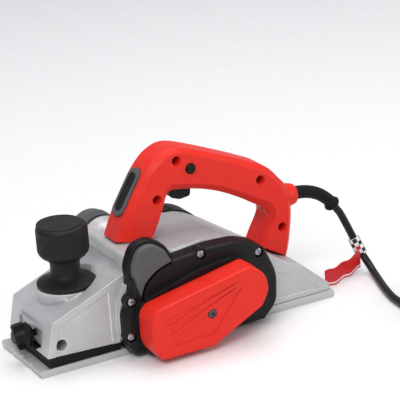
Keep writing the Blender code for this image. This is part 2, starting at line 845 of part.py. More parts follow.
def belt_housing():
    """The black housing on the belt side, a tray that the red cover closes."""
    outline = housing_outline()
    housing = loft(
        "belt_housing",
        [
            (-41.3, outline),
            (-51, housing_outline(0.5)),
            (HOUSING_FRONT_Y + 1.5, housing_outline(2)),
            (HOUSING_FRONT_Y, housing_outline(4.5)),
        ],
        BLACK,
    )
    steps = ((-50, 0), (COLLAR_FRONT_Y + 1, 0), (COLLAR_FRONT_Y, 0.9))
    join(housing, loft("cover_collar", [(y, collar_outline(inward)) for y, inward in steps]))
    surround = [(-42, dome_outline(-3.2)), (-49.5, dome_outline(-3)), (-51, dome_outline(-1.8))]
    join(housing, loft("dome_surround", surround))
    wall = wall_outline(-GAP)
    cut(housing, loft("near_wall_room", [(-46.3, wall), (-38, wall)]))
    cut(housing, block("rear_shoe_room", (90, -SHOE_HALF - GAP, -1), (TAIL_X, -38, REAR_SHOE_TOP + GAP)))
    front_top = FRONT_SHOE_TOP + SHOE_LIFT + 2 * GAP
    cut(housing, block("front_shoe_room", (70, -SHOE_HALF - GAP, -1), (FRONT_SHOE_END + 1, -38, front_top)))
    duct_end = [(0, 8), (DUCT_R + GAP, 8), (DUCT_R + GAP, 0), (0, 0)]
    cut(housing, turned("duct_room", duct_end, (DUCT[0], -41.8, DUCT[1]), "Y"))
    cut(housing, plate("dome_pocket", dome_outline(-GAP), -70, -47.6))
    cut(housing, plate("cover_tray", cover_outline(3.2), -70, -54))
    cut(housing, rod("drum_shaft_room", 13.6, (DRUM[0], -70, DRUM[1]), 30, "Y"))
    cut(housing, rod("motor_shaft_room", 13.3, (MOTOR[0], -70, MOTOR[1]), 30, "Y"))
    cut(housing, plate("cover_seat", cover_outline(-GAP), -70, COLLAR_FRONT_Y + 1.5))
    for i, (x, z) in enumerate(HOUSING_SCREWS):
        join(housing, rod("screw_boss", 6.2, (x, -55.6, z), 9.1, "Y"))
        hole = [(0, 20), (2.2, 20), (2.2, 7), (4.6, 7), (4.6, 0), (0, 0)]
        cut(housing, turned("screw_hole", hole, (x, -60, z), "Y", steps=20))
        screw(f"housing_screw_{i + 1}", x, -53.3, z, 3.9, 1.8, 6.6)


def screw(name, x, y, z, head, shank, length):
    """A pan-head screw driven along +Y, its head resting at y."""
    shaft = [(0, length), (shank, length), (shank, 0)]
    profile = shaft + [(head, 0), (head, -1.4), (head * 0.7, -2.3), (0, -2.5)]
    turned(name, profile, (x, y, z), "Y", STEEL, 12)


def chip_hood_near():
    """The dark grey dome over the near end of the chip duct."""
    steps = ((-47.9, 0), (-52.8, 0.3), (-55.2, 1.1), (-56, 2.4))
    dome = loft("chip_hood_near", [(y, dome_outline(inward)) for y, inward in steps], GREY)
    cut(dome, plate("dome_hollow", circle((106, 86.5), 10.5), -53, -45))


def chip_outlet_far():
    """The chip spout on the far side, open at its end."""
    x, z = DUCT
    profile = [
        (DUCT_R - 3.4, 24),
        (DUCT_R - 1.4, 24),
        (DUCT_R - 1.4, 20),
        (DUCT_R, 17),
        (DUCT_R, 0.3),
        (14, 0.3),
        (14, 3),
        (DUCT_R - 3.4, 6),
    ]
    turned("chip_outlet_far", profile, (x, 46, z), "Y", GREY, 28, closed=True)


def belt_cover():
    """The red cover over the belt, with three converging bands on its face."""
    steps = ((COLLAR_FRONT_Y + 1.2, 0), (COVER_FRONT_Y + 2, 0.8), (COVER_FRONT_Y, 2.4))
    cover = loft("belt_cover", [(y, cover_outline(inward)) for y, inward in steps], RED)
    cut(cover, loft("belt_room", [(-50, cover_outline(2.6)), (COVER_FRONT_Y + 3, cover_outline(2.8))]))
    for band in (
        [(100.4, 41.5), (103.2, 35), (176, 59.5)],
        [(103.8, 33), (105.6, 26), (176, 56)],
        [(106, 24), (107.5, 15.5), (145.5, 16.2), (176, 52.5)],
    ):
        cut(cover, plate("face_band", band, COVER_FRONT_Y - 1, COVER_FRONT_Y + 0.8))
    x, z = COVER_SCREW
    post = [(0, 22.6), (3.6, 22.6), (3.6, 5), (5.8, 3), (5.8, 0), (0, 0)]
    join(cover, turned("screw_post", post, (x, COVER_FRONT_Y + 1.5, z), "Y"))
    hole = [(0, 30), (1.8, 30), (1.8, 2.8), (4.4, 2.8), (4.4, -1), (0, -1)]
    cut(cover, turned("cover_screw_hole", hole, (x, COVER_FRONT_Y, z), "Y"))
    screw("belt_cover_screw", x, COVER_FRONT_Y + 2.5, z, 3.9, 1.5, 18)


# ---------------------------------------------------------------- handle

# Handle stations as pairs: on the flat band round the middle, and on the side face.
HANDLE = [
    ((93.4, 91.6), (106, 90.2)),
    ((102, 110.5), (111.8, 110)),
    ((111, 125.8), (119, 127)),
    ((118, 136.8), (126.4, 138.8)),
    ((125.4, 147), (132.6, 148)),
    ((134, 156), (140.6, 155.2)),
    ((143, 161.4), (147.6, 159.2)),
    ((152, 164), (155, 160.2)),
    ((163, 162.6), (163, 158.6)),
    ((182, 155.4), (181, 151.6)),
    ((204, 146), (202.6, 142.2)),
    ((226, 136), (224, 132.2)),
    ((245, 126), (242, 122)),
    ((257, 113), (252.5, 110)),
    ((265, 101.5), (260, 98)),
    ((267.8, 82), (263, 80)),
    ((265.3, 60), (260.8, 60)),
    ((262.2, 45), (257.8, 46)),
    ((259.8, 37.8), (256, 40)),
    ((232, 53.2), (236, 52.2)),
    ((236, 61), (240, 61)),
    ((243, 73), (247, 73)),
    ((245.6, 81), (249.8, 83)),
    ((241, 88.4), (244.6, 94)),
    ((231, 94.4), (232.6, 100.8)),
    ((216, 104), (217, 110)),
    ((198, 113.6), (199, 119.4)),
    ((178, 121), (178.6, 126.8)),
    ((157, 125.4), (157.4, 131.4)),
    ((147.4, 124.6), (146, 131.6)),
    ((141.6, 114), (139, 115)),
    ((135, 100), (132.4, 100)),
    ((128.5, 87.4), (126, 88.8)),
    ((122, 90.4), (121, 90.2)),
    ((112, 91), (115.5, 90.8)),
]


def handle_half(name, side):
    """One half of the closed handle, hollow towards the joint plane."""
    flat = [pair[0] for pair in HANDLE]
    face = [pair[1] for pair in HANDLE]
    half = loft(
        name,
        [(side * 0.15, flat), (side * HANDLE_FLAT, flat), (side * HANDLE_HALF, face)],
        RED,
    )
    boss = turned(
        "cord_boss",
        [(0, 22), (7.2, 22), (9, 20.4), (10.2, 17), (11.4, 12), (12, 6), (12, 0), (0, 0)],
        (CORD_BOSS[0], 0, CORD_BOSS[1]),
        "X",
        steps=24,
    )
    away = block("other_half", (200, side * 0.15, 60), (300, -side * 30, 120))
    cut(boss, away)
    join(half, boss)
    hollow = inset(face, 1.4)
    cut(half, loft("handle_hollow", [(-side * 1, hollow), (side * 13.5, hollow)]))
    cut(half, rod("cord_way", GUARD_R + GAP, (250, 0, CORD_BOSS[1]), 40, "X"))
    slot = [(149, 105), (149, 140), (175.5, 140), (175.5, 105)]
    cut(half, plate("trigger_slot", slot, -6.8, 6.8))
    for i, (x, z) in enumerate(HANDLE_SCREWS):
        low = -18.5 if side < 0 else 0
        join(half, rod("screw_post", 4.9, (x, min(side * 0.15, side * 14.5), z), 14.3, "Y", steps=16))
        if side < 0:
            cut(half, rod("screw_recess", 3.8, (x, -20, z), 13.5, "Y", steps=16))
            screw(f"handle_screw_{i + 1}", x, -6.8, z, 2.9, 1.4, 16)
        cut(half, rod("screw_hole", 1.75, (x, low, z), 19 if side < 0 else 12, "Y", steps=12))
    return half


def handle():
    left = handle_half("handle_left", -1)
    right = handle_half("handle_right", 1)
    for half in (left, right):
        cut(half, badge_seat())
    cut(left, rod("lock_button_hole", 4.9, (LOCK[0], -20, LOCK[1]), 10, "Y"))


def badge_shape(name, length, width, low, high, finish=None):
    """A round-ended plaque on the leaning front face of the handle."""
    corners = [
        (-length / 2, -width / 2, width * 0.42),
        (length / 2, -width / 2, width * 0.42),
        (length / 2, width / 2, width * 0.42),
        (-length / 2, width / 2, width * 0.42),
    ]
    outline = [(b, a) for a, b in rounded(corners)]
    made = plate(name, outline, low + ORIGIN_X, high + ORIGIN_X, finish, along="X")
    lean = Matrix.Rotation(math.radians(BADGE_LEAN), 4, "Y")
    made.data.transform(Matrix.Translation(at(BADGE[0], 0, BADGE[1])) @ lean)
    return made


def badge_seat():
    return badge_shape("badge_seat", 45.8, 19.2, -4, 1.4)


def badge():
    badge_shape("badge_plate", 45.2, 18.6, -1.9, 1.1, GREY)


def trigger():
    """The trigger and the switch it presses, with the lock button beside them."""
    x, z = TRIGGER_PIVOT
    outline = rounded(
        [
            (149.6, 134, 2),
            (149.6, 126, 2),
            (153, 116.5, 4),
            (161, 113.2, 8),
            (171.5, 114.5, 3),
            (173.2, 127, 2),
            (173.2, 131, 1),
        ]
    )
    lever = plate("trigger", outline, -6.3, 6.3, BLACK)
    cut(lever, rod("pivot_hole", 1.6, (x, -10, z - 2), 20, "Y", steps=12))
    hang_on(lever, x, 0, z - 2)
    rod("trigger_pin", 1.3, (x, -6.4, z - 2), 12.8, "Y", STEEL, 12)
    switch = block("switch_body", (158, -9, 136.2), (184, 9, 146.5), BLACK)
    cut(switch, block("terminal_slot", (180, -6, 139.5), (187, 6, 143.5)))
    profile = [(0, 8), (3, 8), (4.2, 7.3), (4.6, 6.5), (4.6, 1.4), (6, 1.4), (6, 0), (0, 0)]
    button = turned("lock_button", profile, (LOCK[0], LOCK_Y, LOCK[1]), "-Y", BLACK, 20)
    hang_on(button, LOCK[0], LOCK_Y, LOCK[1])


# ---------------------------------------------------------------- cord

# The cord's route, placed by hand in metres: out of the guard, down to the floor, and round.
CORD_ROUTE = [
    (0.1151, 0.0, 0.0669),
    (0.1206, 0.0, 0.0590),
    (0.1256, -0.0008, 0.0480),
    (0.1302, -0.0020, 0.0368),
    (0.1345, -0.0042, 0.0255),
    (0.1378, -0.0085, 0.0155),
    (0.1392, -0.0160, 0.0085),
    (0.1374, -0.0265, 0.0048),
    (0.1338, -0.0390, 0.0038),
    (0.1282, -0.0560, 0.0037),
    (0.1236, -0.0720, 0.0037),
    (0.1205, -0.0860, 0.0037),
    (0.1190, -0.0985, 0.0037),
]
GUARD_ROUTE = [
    (0.0570, 0.0, 0.0898),
    (0.0723, 0.0, 0.0898),
    (0.0850, 0.0, 0.0885),
    (0.0970, 0.0, 0.0840),
    (0.1075, 0.0, 0.0762),
    (0.1148, 0.0, 0.0672),
]
TAG_ROUTE = [
    (0.1330, -0.0105, 0.0140),
    (0.1220, -0.0140, 0.0115),
    (0.1050, -0.0185, 0.0095),
    (0.0880, -0.0225, 0.0086),
]
TAG_POINT = 6
TAG_TALL = 16.0


def stand_along(made, place, heading):
    """Moves a shape made about +Z at the origin to a place in metres, along a heading."""
    lean = Vector((0, 0, 1)).rotation_difference(heading).to_matrix().to_4x4()
    made.data.transform(Matrix.Translation(place) @ lean)


def cord_guard():
    """The rubber strain relief, which ends in a collar."""
    guard = tube("cord_guard", smooth_route(GUARD_ROUTE, 6), GUARD_R, RUBBER, resolution=3)
    end = Vector(GUARD_ROUTE[-1])
    heading = (end - Vector(GUARD_ROUTE[-2])).normalized()
    profile = [(0, 4.2), (5.4, 4.2), (7.6, 2.4), (7.6, -1.2), (5.2, -3), (0, -3)]
    collar = turned("guard_collar", profile, (ORIGIN_X, 0, 0), "Z", steps=16)
    stand_along(collar, end - heading * 4.3 * MM, heading)
    join(guard, collar)


def cord_coil():
    """The rest of the lead, put away in a neat coil."""
    middle = (COIL_OUTER + COIL_INNER) / 2
    wide = (COIL_OUTER - COIL_INNER) / 2
    tall = COIL_TOP / 2
    turn = [2 * math.pi * (k + 0.5) / 12 for k in range(12)]
    profile = [(middle + wide * math.cos(a), GAP + tall + tall * math.sin(a)) for a in turn]
    turned("cord_coil", profile, (*COIL_CENTRE, 0), "Z", RUBBER, 28, closed=True)


def power_plug():
    """A moulded two-pin plug that lies on the coil, along its turns."""
    x, y = COIL_CENTRE
    x += (COIL_OUTER + COIL_INNER) / 2
    y += PLUG_SHIFT
    low, thick = COIL_TOP + 0.8, 13
    outline = rounded(
        [(-12, -17, 5), (12, -17, 5), (18, 12, 6), (16, 17, 3), (-16, 17, 3), (-18, 12, 6)]
    )
    plug = plate("power_plug", [(x + a, y + b) for a, b in outline], low, low + thick, RUBBER, "Z")
    tail = [(0, 20), (4.2, 20), (5.8, 0), (0, 0)]
    join(plug, turned("plug_tail", tail, (x, y - 15, low + thick / 2), "-Y", steps=16))
    for side in (-1, 1):
        pin = (x + side * 9.5, y + 15, low + thick / 2)
        join(plug, rod("plug_pin", 2.4, pin, 21, "Y", steps=12))


def cord_tag():
    """The red tie on the lead: a sleeve round it, and its loose strip standing on edge."""
    line = smooth_route(CORD_ROUTE, 8)
    heading = Vector(line[TAG_POINT + 1]) - Vector(line[TAG_POINT - 1])
    sleeve = ring("cord_tag", CORD_R + 2, CORD_R + 0.8, (ORIGIN_X, 0, -5.5), 11, "Z", RED, 16)
    stand_along(sleeve, Vector(line[TAG_POINT]), heading)
    half = TAG_TALL / 2 * MM
    thin = 0.5 * MM
    bm = bmesh.new()
    stations = []
    for x, y, z in TAG_ROUTE:
        corners = ((y - thin, z - half), (y + thin, z - half), (y + thin, z + half), (y - thin, z + half))
        stations.append([bm.verts.new((x, b, c)) for b, c in corners])
    for here, following in zip(stations, stations[1:], strict=False):
        for k in range(4):
            j = (k + 1) % 4
            bm.faces.new((here[k], here[j], following[j], following[k]))
    bm.faces.new(stations[0])
    bm.faces.new(stations[-1])
    join(sleeve, finished("tag_strip", bm, None))


def cord():
    """The free lead with the pieces on it."""
    cord_guard()
    tube("cord", smooth_route(CORD_ROUTE, 8), CORD_R, RUBBER, resolution=2)
    cord_coil()
    power_plug()
    cord_tag()


def main():
    global parts, cutters
    clear_scene()
    parts = new_collection("electric_hand_planer")
    cutters = new_collection("cutters")
    front_shoe()
    shoe_seal()
    body_casting()
    rear_shoe()
    depth_knob()
    depth_stud()
    shoe_spring()
    guide_clamp_bolt()
    cutter_drum()
    drive()
    motor()
    motor_cover()
    belt_housing()
    chip_hood_near()
    chip_outlet_far()
    belt_cover()
    handle()
    badge()
    trigger()
    cord()
    for made in parts.objects:
        if made.modifiers:
            weld(made)


main()
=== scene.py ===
"""Looks of the electric hand planer: fine pieces, materials, light and camera around the CAD frame.

Stations are in millimetres, as in the CAD source: x from the nose, y across (minus is the belt
side), z up from the sole. The row's origin is the centre of the rear shoe's sole.
"""
import json
import math

import bmesh
import bpy
import numpy as np
from mathutils import Matrix, Vector


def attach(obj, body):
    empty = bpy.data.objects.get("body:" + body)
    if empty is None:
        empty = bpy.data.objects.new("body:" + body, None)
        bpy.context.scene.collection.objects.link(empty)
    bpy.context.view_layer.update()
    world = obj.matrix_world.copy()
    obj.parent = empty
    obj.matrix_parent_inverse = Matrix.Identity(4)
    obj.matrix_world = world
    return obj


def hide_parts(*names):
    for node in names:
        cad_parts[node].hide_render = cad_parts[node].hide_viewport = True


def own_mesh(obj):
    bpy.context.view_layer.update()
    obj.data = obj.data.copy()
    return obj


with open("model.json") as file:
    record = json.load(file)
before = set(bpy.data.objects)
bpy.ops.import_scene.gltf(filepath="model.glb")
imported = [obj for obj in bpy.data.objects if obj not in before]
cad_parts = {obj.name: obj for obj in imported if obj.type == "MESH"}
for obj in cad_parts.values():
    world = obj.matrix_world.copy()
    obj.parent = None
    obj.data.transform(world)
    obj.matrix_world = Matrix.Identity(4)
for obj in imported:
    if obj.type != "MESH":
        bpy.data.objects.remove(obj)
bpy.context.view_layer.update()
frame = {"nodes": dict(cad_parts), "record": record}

BODY_OF = {
    node: body for body, nodes in frame["record"]["behaviour"]["bodies"].items() for node in nodes
}

MM = 0.001
ORIGIN_X = 205.0
ARC_STEP = math.radians(7)
NEARLY_STRAIGHT = math.radians(88)
LEAST_RADIUS = 0.15
MOST_OF_A_SIDE = 0.48
LEAST_MITRE = 0.3
WELD = 0.002 * MM
CUT_WELD = 0.004 * MM
FLAT_ANGLE = math.radians(0.4)
SMOOTH_ANGLE = 35
CARRIED_SMOOTH_ANGLE = 32
FLAT_WEIGHT = 90

# The camera's place, aim and lens, fitted to the photograph's view.
CAMERA_PLACE = Vector((-0.82757, -1.60362, 0.76429))
CAMERA_AZIMUTH = -26.69
CAMERA_ELEVATION = 20.15
CAMERA_ROLL = -4.44
CAMERA_LENS = 195.5

# The cord's facts and route, in metres.
CORD_R = 3.5
CORD_ROUTE = [
    (0.1151, 0.0, 0.0669),
    (0.1206, 0.0, 0.0590),
    (0.1256, -0.0008, 0.0480),
    (0.1302, -0.0020, 0.0368),
    (0.1345, -0.0042, 0.0255),
    (0.1378, -0.0085, 0.0155),
    (0.1392, -0.0160, 0.0085),
    (0.1374, -0.0265, 0.0048),
    (0.1338, -0.0390, 0.0038),
    (0.1282, -0.0560, 0.0037),
    (0.1236, -0.0720, 0.0037),
    (0.1205, -0.0860, 0.0037),
    (0.1190, -0.0985, 0.0037),
]
GUARD_ROUTE = [
    (0.0570, 0.0, 0.0898),
    (0.0723, 0.0, 0.0898),
    (0.0850, 0.0, 0.0885),
    (0.0970, 0.0, 0.0840),
    (0.1075, 0.0, 0.0762),
    (0.1148, 0.0, 0.0672),
]
TAG_ROUTE = [
    (0.1330, -0.0105, 0.0140),
    (0.1220, -0.0140, 0.0115),
    (0.1050, -0.0185, 0.0095),
    (0.0880, -0.0225, 0.0086),
]
# The loose run ends level with this, just before the coil's first turn. The turns are
# (radius, level) in millimetres, and the plug's tail is an offset from the coil's centre.
RUN_END_Y = -0.1030
COIL_CENTRE = (0.1613, -0.1190)
COIL_TURNS = (
    (42.3, 3.7),
    (35.2, 3.7),
    (28.2, 3.7),
    (28.2, 10.8),
    (35.2, 10.8),
    (42.2, 10.8),
    (38.6, 17.4),
    (31.6, 17.4),
)
COIL_END = (31.6, 22.0)
PLUG_TAIL = (35.25, -27.0, 28.9)


# Places and outlines in the CAD source's stations. An outline's corners are (x, z, radius).
GUARD_R = 6.2
HANDLE_HALF = 17.5
CORD_BOSS = (257, 89.8)
TRIGGER_PIVOT = (152, 132.5)
LOCK = (168, 143.5)
LOCK_Y = -11.8
BADGE = (113.6, 129.7)
BADGE_LEAN = 33.0
KNOB_X = 49.4
ROD_Z = 24.5
DRUM = (105, 27.5)
MOTOR = (172, 50)
MOTOR_COVER_R = 36
MOTOR_COVER_START = 41.5
MOTOR_COVER_LENGTH = 31.5
DUCT = (106, 75.5)
DUCT_R = 21.5
HANDLE_SCREWS = ((155.2, 153.2), (133.8, 122.2), (236, 117), (255, 68))
HOUSING_SCREWS = ((84, 52.6), (80.8, 21.5), (152.5, 79.2), (208.5, 67.5))
COVER_SCREW = (145.5, 35.4)
HOUSING = [
    (84, 2.6, 2),
    (75.4, 14, 7),
    (75.4, 41, 12),
    (84, 60, 12),
    (84.5, 74, 4),
    (130, 82, 30),
    (160, 84.6, 60),
    (190, 83.6, 40),
    (214.5, 74, 30),
    (226.8, 44, 40),
    (225, 16, 20),
    (211, 2.6, 3),
]
COLLAR = [
    (94.5, 3.2, 1.5),
    (86.2, 17, 22),
    (86.6, 51.4, 12),
    (104, 57.5, 20),
    (146, 69.2, 60),
    (176, 72.2, 30),
    (191, 69.5, 14),
    (202.5, 59.5, 20),
    (204.8, 43, 14),
    (197, 28.5, 8),
    (147, 3.2, 1.5),
]
COVER = [
    (95.5, 4.6, 1.5),
    (86.5, 17, 22),
    (86.9, 50.8, 12),
    (186, 69.6, 8),
    (200.5, 59, 20),
    (202.8, 43, 14),
    (195, 29.5, 8),
    (145.5, 4.6, 1.5),
]
DOME = [
    (93.4, 50, 1),
    (88.6, 64, 20),
    (86.2, 82, 20),
    (93.5, 98.6, 16),
    (107.5, 100.6, 14),
    (119.5, 92, 14),
    (126, 79.2, 1),
    (110.5, 75, 30),
    (98, 65, 20),
]


def at(x, y, z):
    """A station in millimetres as a point in metres."""
    return Vector(((x - ORIGIN_X) * MM, y * MM, z * MM))


# ---------------------------------------------------------------- camera, floor, light

# The floor lies this far under the sole, in metres, so that the two don't share a plane.
FLOOR_GAP = 0.0002


def camera():
    data = bpy.data.cameras.new("camera")
    data.sensor_width = 36
    data.lens = CAMERA_LENS
    azimuth, elevation, roll = (
        math.radians(a) for a in (CAMERA_AZIMUTH, CAMERA_ELEVATION, CAMERA_ROLL)
    )
    flat = math.cos(elevation)
    back = Vector((math.sin(azimuth) * flat, -math.cos(azimuth) * flat, math.sin(elevation)))
    level = (-back).cross(Vector((0, 0, 1))).normalized()
    upright = level.cross(-back)
    right = level * math.cos(roll) + upright * math.sin(roll)
    up = upright * math.cos(roll) - level * math.sin(roll)
    placed = Matrix((right, up, back)).transposed().to_4x4()
    placed.translation = CAMERA_PLACE
    made = bpy.data.objects.new("camera", data)
    made.matrix_world = placed
    bpy.context.scene.collection.objects.link(made)
    bpy.context.scene.camera = made


def area_light(name, place, target, size, power, colour=(1, 1, 1)):
    data = bpy.data.lights.new(name, "AREA")
    data.size = size
    data.energy = power
    data.color = colour
    made = bpy.data.objects.new(name, data)
    made.location = place
    aim = Vector(target) - Vector(place)
    made.rotation_euler = aim.to_track_quat("-Z", "Y").to_euler()
    bpy.context.scene.collection.objects.link(made)


def studio():
    """A pale floor and large soft lights."""
    mesh = bpy.data.meshes.new("floor")
    half = 6.0
    corners = [(-half, -half, 0), (half, -half, 0), (half, half, 0), (-half, half, 0)]
    mesh.from_pydata(corners, [], [(0, 1, 2, 3)])
    floor = bpy.data.objects.new("floor", mesh)
    floor.location = (0, 0, -FLOOR_GAP)
    bpy.context.scene.collection.objects.link(floor)
    paper = surface("floor_paper", (0.9, 0.9, 0.9), 0.75, grain=0.02, mottle=0.01)
    floor.data.materials.append(paper)
    world = bpy.data.worlds.new("studio")
    world.use_nodes = True
    background = world.node_tree.nodes["Background"]
    background.inputs["Color"].default_value = (0.93, 0.95, 1.0, 1)
    background.inputs["Strength"].default_value = 0.42
    bpy.context.scene.world = world
    bpy.context.scene.view_settings.view_transform = "Standard"
    area_light("key", (-0.9, -1.1, 1.5), (0, 0, 0.05), 0.9, 17)
    area_light("top", (0.2, 0.3, 1.6), (0, 0, 0.05), 1.2, 15)
    area_light("side", (1.3, -0.9, 0.6), (0.05, 0, 0.08), 0.7, 5)


# ---------------------------------------------------------------- materials

MOTTLE_SCALE = 60
SMEAR_SCALE = 138
GLOSS_SPREAD = 0.06
GRAIN_HEIGHT = 0.0002
# The dot of the true and the eased normal, which places the painted edge highlight: the first value
# or less on an edge, and the second or more on a flat face.
EDGE_RANGE = (0.86, 0.995)


def noise(nodes, links, coordinates, scale, detail, stretch):
    """A noise read in the object's own metres."""
    mapping = nodes.new("ShaderNodeMapping")
    mapping.inputs["Scale"].default_value = stretch
    links.new(coordinates, mapping.inputs["Vector"])
    made = nodes.new("ShaderNodeTexNoise")
    made.inputs["Scale"].default_value = scale
    made.inputs["Detail"].default_value = detail
    links.new(mapping.outputs["Vector"], made.inputs["Vector"])
    return made.outputs["Fac"]


def spread(nodes, links, value, low, high, start=0.3, stop=0.7):
    """Maps a stretch of a value to a range."""
    made = nodes.new("ShaderNodeMapRange")
    made.inputs["From Min"].default_value = start
    made.inputs["From Max"].default_value = stop
    made.inputs["To Min"].default_value = low
    made.inputs["To Max"].default_value = high
    links.new(value, made.inputs["Value"])
    return made.outputs["Result"]


def edge_highlight_share(nodes, links, eased, amount):
    """How much of the painted edge highlight shows: most where the surface turns over an edge."""
    true = nodes.new("ShaderNodeNewGeometry")
    dot = nodes.new("ShaderNodeVectorMath")
    dot.operation = "DOT_PRODUCT"
    links.new(true.outputs["Normal"], dot.inputs[0])
    links.new(eased, dot.inputs[1])
    return spread(nodes, links, dot.outputs["Value"], amount, 0.0, *EDGE_RANGE)


def surface(
    name,
    colour,
    roughness,
    metallic=0.0,
    grain=0.1,
    grain_scale=1400,
    mottle=0.05,
    stretch=(1, 1, 1),
    edge=0.0,
    edge_highlight=0.0,
    edge_highlight_colour=(1, 1, 1),
    specular=0.5,
):
    """A finish with a fine grain, faint colour and gloss changes, eased edges and a lighter colour
    painted on the edges as a highlight.
    """
    made = bpy.data.materials.new(name)
    made.use_nodes = True
    nodes, links = made.node_tree.nodes, made.node_tree.links
    shader = nodes["Principled BSDF"]
    shader.inputs["Metallic"].default_value = metallic
    shader.inputs["Specular IOR Level"].default_value = specular
    coordinates = nodes.new("ShaderNodeTexCoord").outputs["Object"]
    cloud = noise(nodes, links, coordinates, MOTTLE_SCALE, 4, stretch)
    ramp = nodes.new("ShaderNodeValToRGB")
    ends = ramp.color_ramp.elements
    for end, place, share in ((ends[0], 0.3, 1 - mottle), (ends[1], 0.7, 1 + mottle)):
        end.position = place
        end.color = (*(min(1, c * share) for c in colour), 1)
    links.new(cloud, ramp.inputs["Fac"])
    tint = ramp.outputs["Color"]
    smear = noise(nodes, links, coordinates, SMEAR_SCALE, 5, stretch)
    gloss = spread(nodes, links, smear, roughness - GLOSS_SPREAD, roughness + GLOSS_SPREAD)
    links.new(gloss, shader.inputs["Roughness"])
    bump = nodes.new("ShaderNodeBump")
    bump.inputs["Strength"].default_value = grain
    bump.inputs["Distance"].default_value = GRAIN_HEIGHT
    rough = noise(nodes, links, coordinates, grain_scale, 2, stretch)
    links.new(rough, bump.inputs["Height"])
    if edge:
        eased = nodes.new("ShaderNodeBevel")
        eased.samples = 6
        eased.inputs["Radius"].default_value = edge * MM
        links.new(eased.outputs["Normal"], bump.inputs["Normal"])
        # The lighter colour mixed over the edges is a painted highlight, standing in for the light
        # that rounded rims catch.
        if edge_highlight:
            mix = nodes.new("ShaderNodeMix")
            mix.data_type = "RGBA"
            share = edge_highlight_share(nodes, links, eased.outputs["Normal"], edge_highlight)
            links.new(share, mix.inputs["Factor"])
            links.new(tint, mix.inputs[6])
            mix.inputs[7].default_value = (*edge_highlight_colour, 1)
            tint = mix.outputs[2]
    links.new(tint, shader.inputs["Base Color"])
    links.new(bump.outputs["Normal"], shader.inputs["Normal"])
    return made


# Silver parts get a near-white painted highlight along their edges.
SILVER = dict(metallic=0.35, edge_highlight=0.75, edge_highlight_colour=(0.93, 0.93, 0.93), specular=0.4)
FINISHES = {
    "casting": surface(
        "cast_aluminium",
        (0.52, 0.525, 0.53),
        0.42,
        grain=0.5,
        grain_scale=900,
        mottle=0.06,
        edge=1.3,
        **SILVER,
    ),
    "machined": surface(
        "machined_aluminium",
        (0.54, 0.545, 0.55),
        0.36,
        grain=0.4,
        grain_scale=420,
        stretch=(0.1, 3, 3),
        edge=0.4,
        **SILVER,
    ),
    "red": surface(
        "red_plastic",
        (0.77, 0.024, 0.013),
        0.42,
        grain=0.10,
        mottle=0.03,
        edge=0.7,
        # A lighter red painted along the edges as a highlight.
        edge_highlight=0.30,
        edge_highlight_colour=(0.95, 0.20, 0.16),
        specular=0.25,
    ),
    "black": surface(
        "black_plastic",
        (0.0065, 0.0065, 0.007),
        0.44,
        grain=0.16,
        mottle=0.15,
        edge=0.5,
        # A dark grey painted along the edges as a highlight.
        edge_highlight=0.35,
        edge_highlight_colour=(0.10, 0.10, 0.105),
        specular=0.22,
    ),
    "charcoal": surface(
        "charcoal_plastic",
        (0.0095, 0.0095, 0.0098),
        0.52,
        grain=0.3,
        mottle=0.14,
        edge=0.4,
        # A dark grey painted along the edges as a highlight.
        edge_highlight=0.25,
        edge_highlight_colour=(0.10, 0.10, 0.10),
        specular=0.25,
    ),
    "grey": surface(
        "grey_plastic",
        (0.095, 0.098, 0.10),
        0.5,
        grain=0.2,
        mottle=0.07,
        edge=0.5,
        specular=0.25,
    ),
    "rubber": surface(
        "black_rubber",
        (0.0055, 0.0055, 0.006),
        0.6,
        grain=0.25,
        mottle=0.15,
        edge=0.4,
        specular=0.2,
    ),
    "lead": surface(
        "lead_rubber",
        (0.0075, 0.0075, 0.008),
        0.42,
        grain=0.12,
        mottle=0.12,
        specular=0.3,
    ),
    "steel": surface("zinc_steel", (0.44, 0.44, 0.45), 0.36, 1.0, grain=0.12, mottle=0.1, edge=0.2),
    "iron": surface("dark_iron", (0.10, 0.10, 0.105), 0.5, 0.8, grain=0.3, mottle=0.12),
    "copper": surface("copper", (0.62, 0.27, 0.13), 0.34, 1.0, grain=0.2, mottle=0.1),
    "tag_red": surface(
        "tag_red",
        (0.62, 0.012, 0.016),
        0.34,
        grain=0.05,
        mottle=0.05,
        specular=0.35,
    ),
    "tag_white": surface(
        "tag_white",
        (0.80, 0.80, 0.80),
        0.4,
        grain=0.03,
        mottle=0.03,
        specular=0.3,
    ),
    "tag_black": surface(
        "tag_black",
        (0.012, 0.012, 0.012),
        0.4,
        grain=0.03,
        mottle=0.1,
        specular=0.3,
    ),
}


# ---------------------------------------------------------------- outlines and solids


def signed_area(points):
    following = points[1:] + points[:1]
    return sum(p[0] * q[1] - q[0] * p[1] for p, q in zip(points, following, strict=True)) / 2


def inset(points, distance):
    """The polygon moved inward by a distance, with mitred corners."""
    side = 1 if signed_area(points) > 0 else -1
    moved = []
    for i, p in enumerate(points):
        here = Vector(p)
        before = (here - Vector(points[i - 1])).normalized()
        after = (Vector(points[(i + 1) % len(points)]) - here).normalized()
        across = Vector((-before.y, before.x)) * side
        normal = (across + Vector((-after.y, after.x)) * side).normalized()
        moved.append(tuple(here + normal * distance / max(LEAST_MITRE, normal.dot(across))))
    return moved


